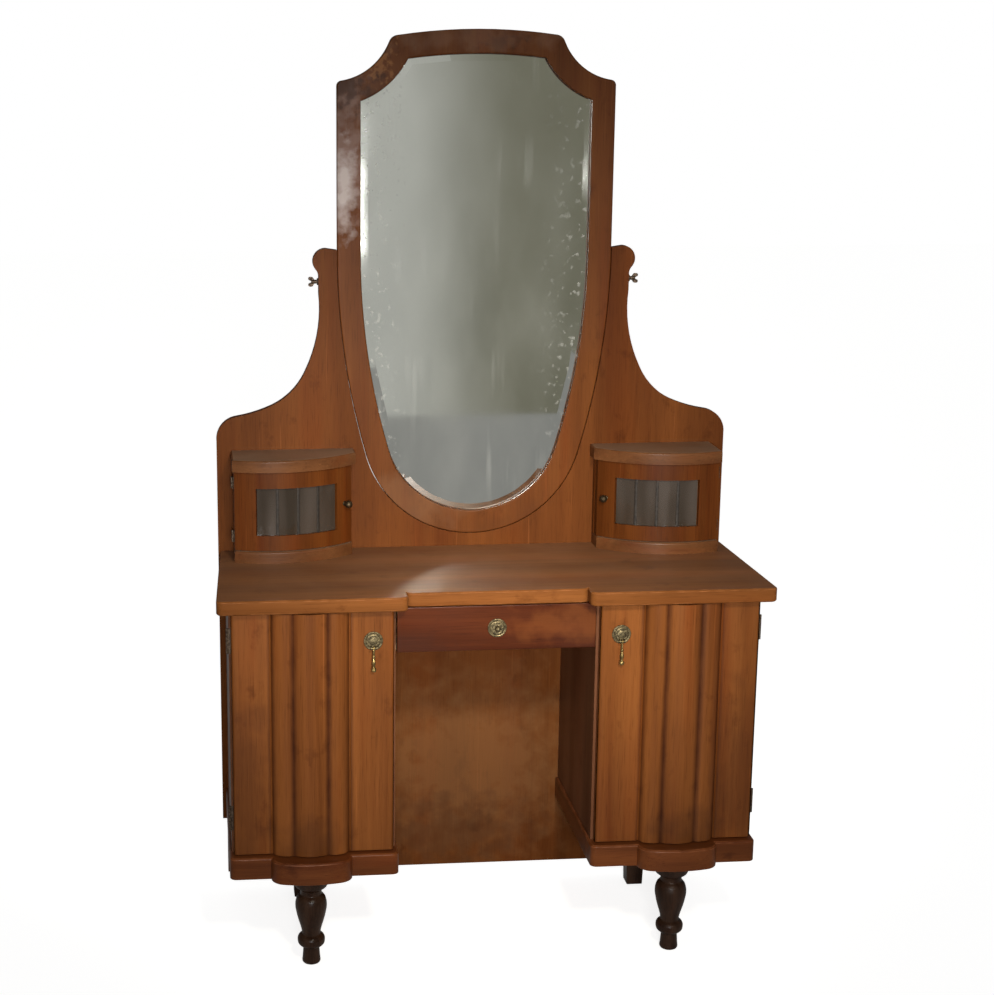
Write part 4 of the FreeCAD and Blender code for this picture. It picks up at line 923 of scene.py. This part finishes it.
stage_sheet("floor", [(-floor_half, -floor_half, 0), (floor_half, -floor_half, 0),
                      (floor_half, floor_half, 0), (-floor_half, floor_half, 0)], white_floor())
wall = stage_sheet("studio_wall", [(-wall_half, wall_y, 0), (-wall_half, wall_y, wall_height),
                                   (wall_half, wall_y, wall_height), (wall_half, wall_y, 0)], studio_wall())
wall.visible_camera = False
wall.visible_diffuse = False
wall.visible_shadow = False

world = bpy.data.worlds.new("pale surround")
bpy.context.scene.world = world
world.use_nodes = True
air = world.node_tree
rays = wired(air, "ShaderNodeLightPath")
seen = reckon(air, "MAXIMUM", rays.outputs["Is Camera Ray"], rays.outputs["Is Transmission Ray"])
unseen = ranged(air, rays.outputs["Is Glossy Ray"], 0.0, 1.0, surround_light, surround_gleam)
fed(air, air.nodes["Background"], {"Color": (1.0, 1.0, 1.0, 1.0),
                                   "Strength": ranged(air, seen, 0.0, 1.0, unseen, 1.0)})


def lamp(name, place, target, width, height, power, spread, colour=(1.0, 1.0, 1.0)):
    light = bpy.data.lights.new(name, "AREA")
    light.color = colour
    light.spread = math.radians(spread)
    light.shape = "RECTANGLE"
    light.size = width
    light.size_y = height
    light.energy = power
    made = bpy.data.objects.new(name, light)
    made.location = place
    made.rotation_euler = (Vector(target) - Vector(place)).to_track_quat("-Z", "Y").to_euler()
    bpy.context.scene.collection.objects.link(made)


lamp("high lamp", place=(0.12, -2.60, 2.45), target=(0, -0.05, 0.80), width=0.28, height=0.28, power=2.50,
     spread=33, colour=(1.0, 0.91, 0.74))
lamp("front lamp", place=(-0.35, -3.90, 1.50), target=(0.02, 0, 0.86), width=0.8, height=0.8, power=6.3,
     spread=31)
lamp("left strip lamp", place=(-0.79, -3.00, 1.20), target=(-0.22, 0.20, 1.50), width=0.018, height=0.30,
     power=0.036, spread=40)
lamp("right strip lamp", place=(1.91, -3.00, 1.33), target=(0.23, 0.20, 1.52), width=0.05, height=0.26,
     power=0.30, spread=40)


# Camera
# Eye height, a little to the left of the table's middle, aimed slightly down; the picture is the part
# of a wider frame that the photograph kept.
picture_width, picture_height = 994, 995
focal_pixels = 1845.7
centre_u, centre_v = 341.03, 477.22
eye = Vector((-0.5696, -3.50805, 1.7456))
yaw, pitch, roll = -0.0801, -0.2214, 0.0026
turn = Matrix.Rotation(yaw, 3, "Z") @ Matrix.Rotation(pitch, 3, "X") @ Matrix.Rotation(roll, 3, "Y")
right, ahead, upward = (turn @ Vector(axis) for axis in ((1, 0, 0), (0, 1, 0), (0, 0, 1)))
camera_data = bpy.data.cameras.new("eye")
camera_data.sensor_width = 36.0
camera_data.sensor_height = 36.0
camera_data.sensor_fit = "AUTO"
camera_data.lens = focal_pixels / max(picture_width, picture_height) * camera_data.sensor_width
camera_data.shift_x = (picture_width / 2 - centre_u) / max(picture_width, picture_height)
camera_data.shift_y = (centre_v - picture_height / 2) / max(picture_width, picture_height)
camera = bpy.data.objects.new("eye", camera_data)
camera.matrix_world = Matrix.Translation(eye) @ Matrix((right, upward, -ahead)).transposed().to_4x4()
bpy.context.scene.collection.objects.link(camera)
bpy.context.scene.camera = camera
bpy.context.scene.view_settings.view_transform = "Standard"
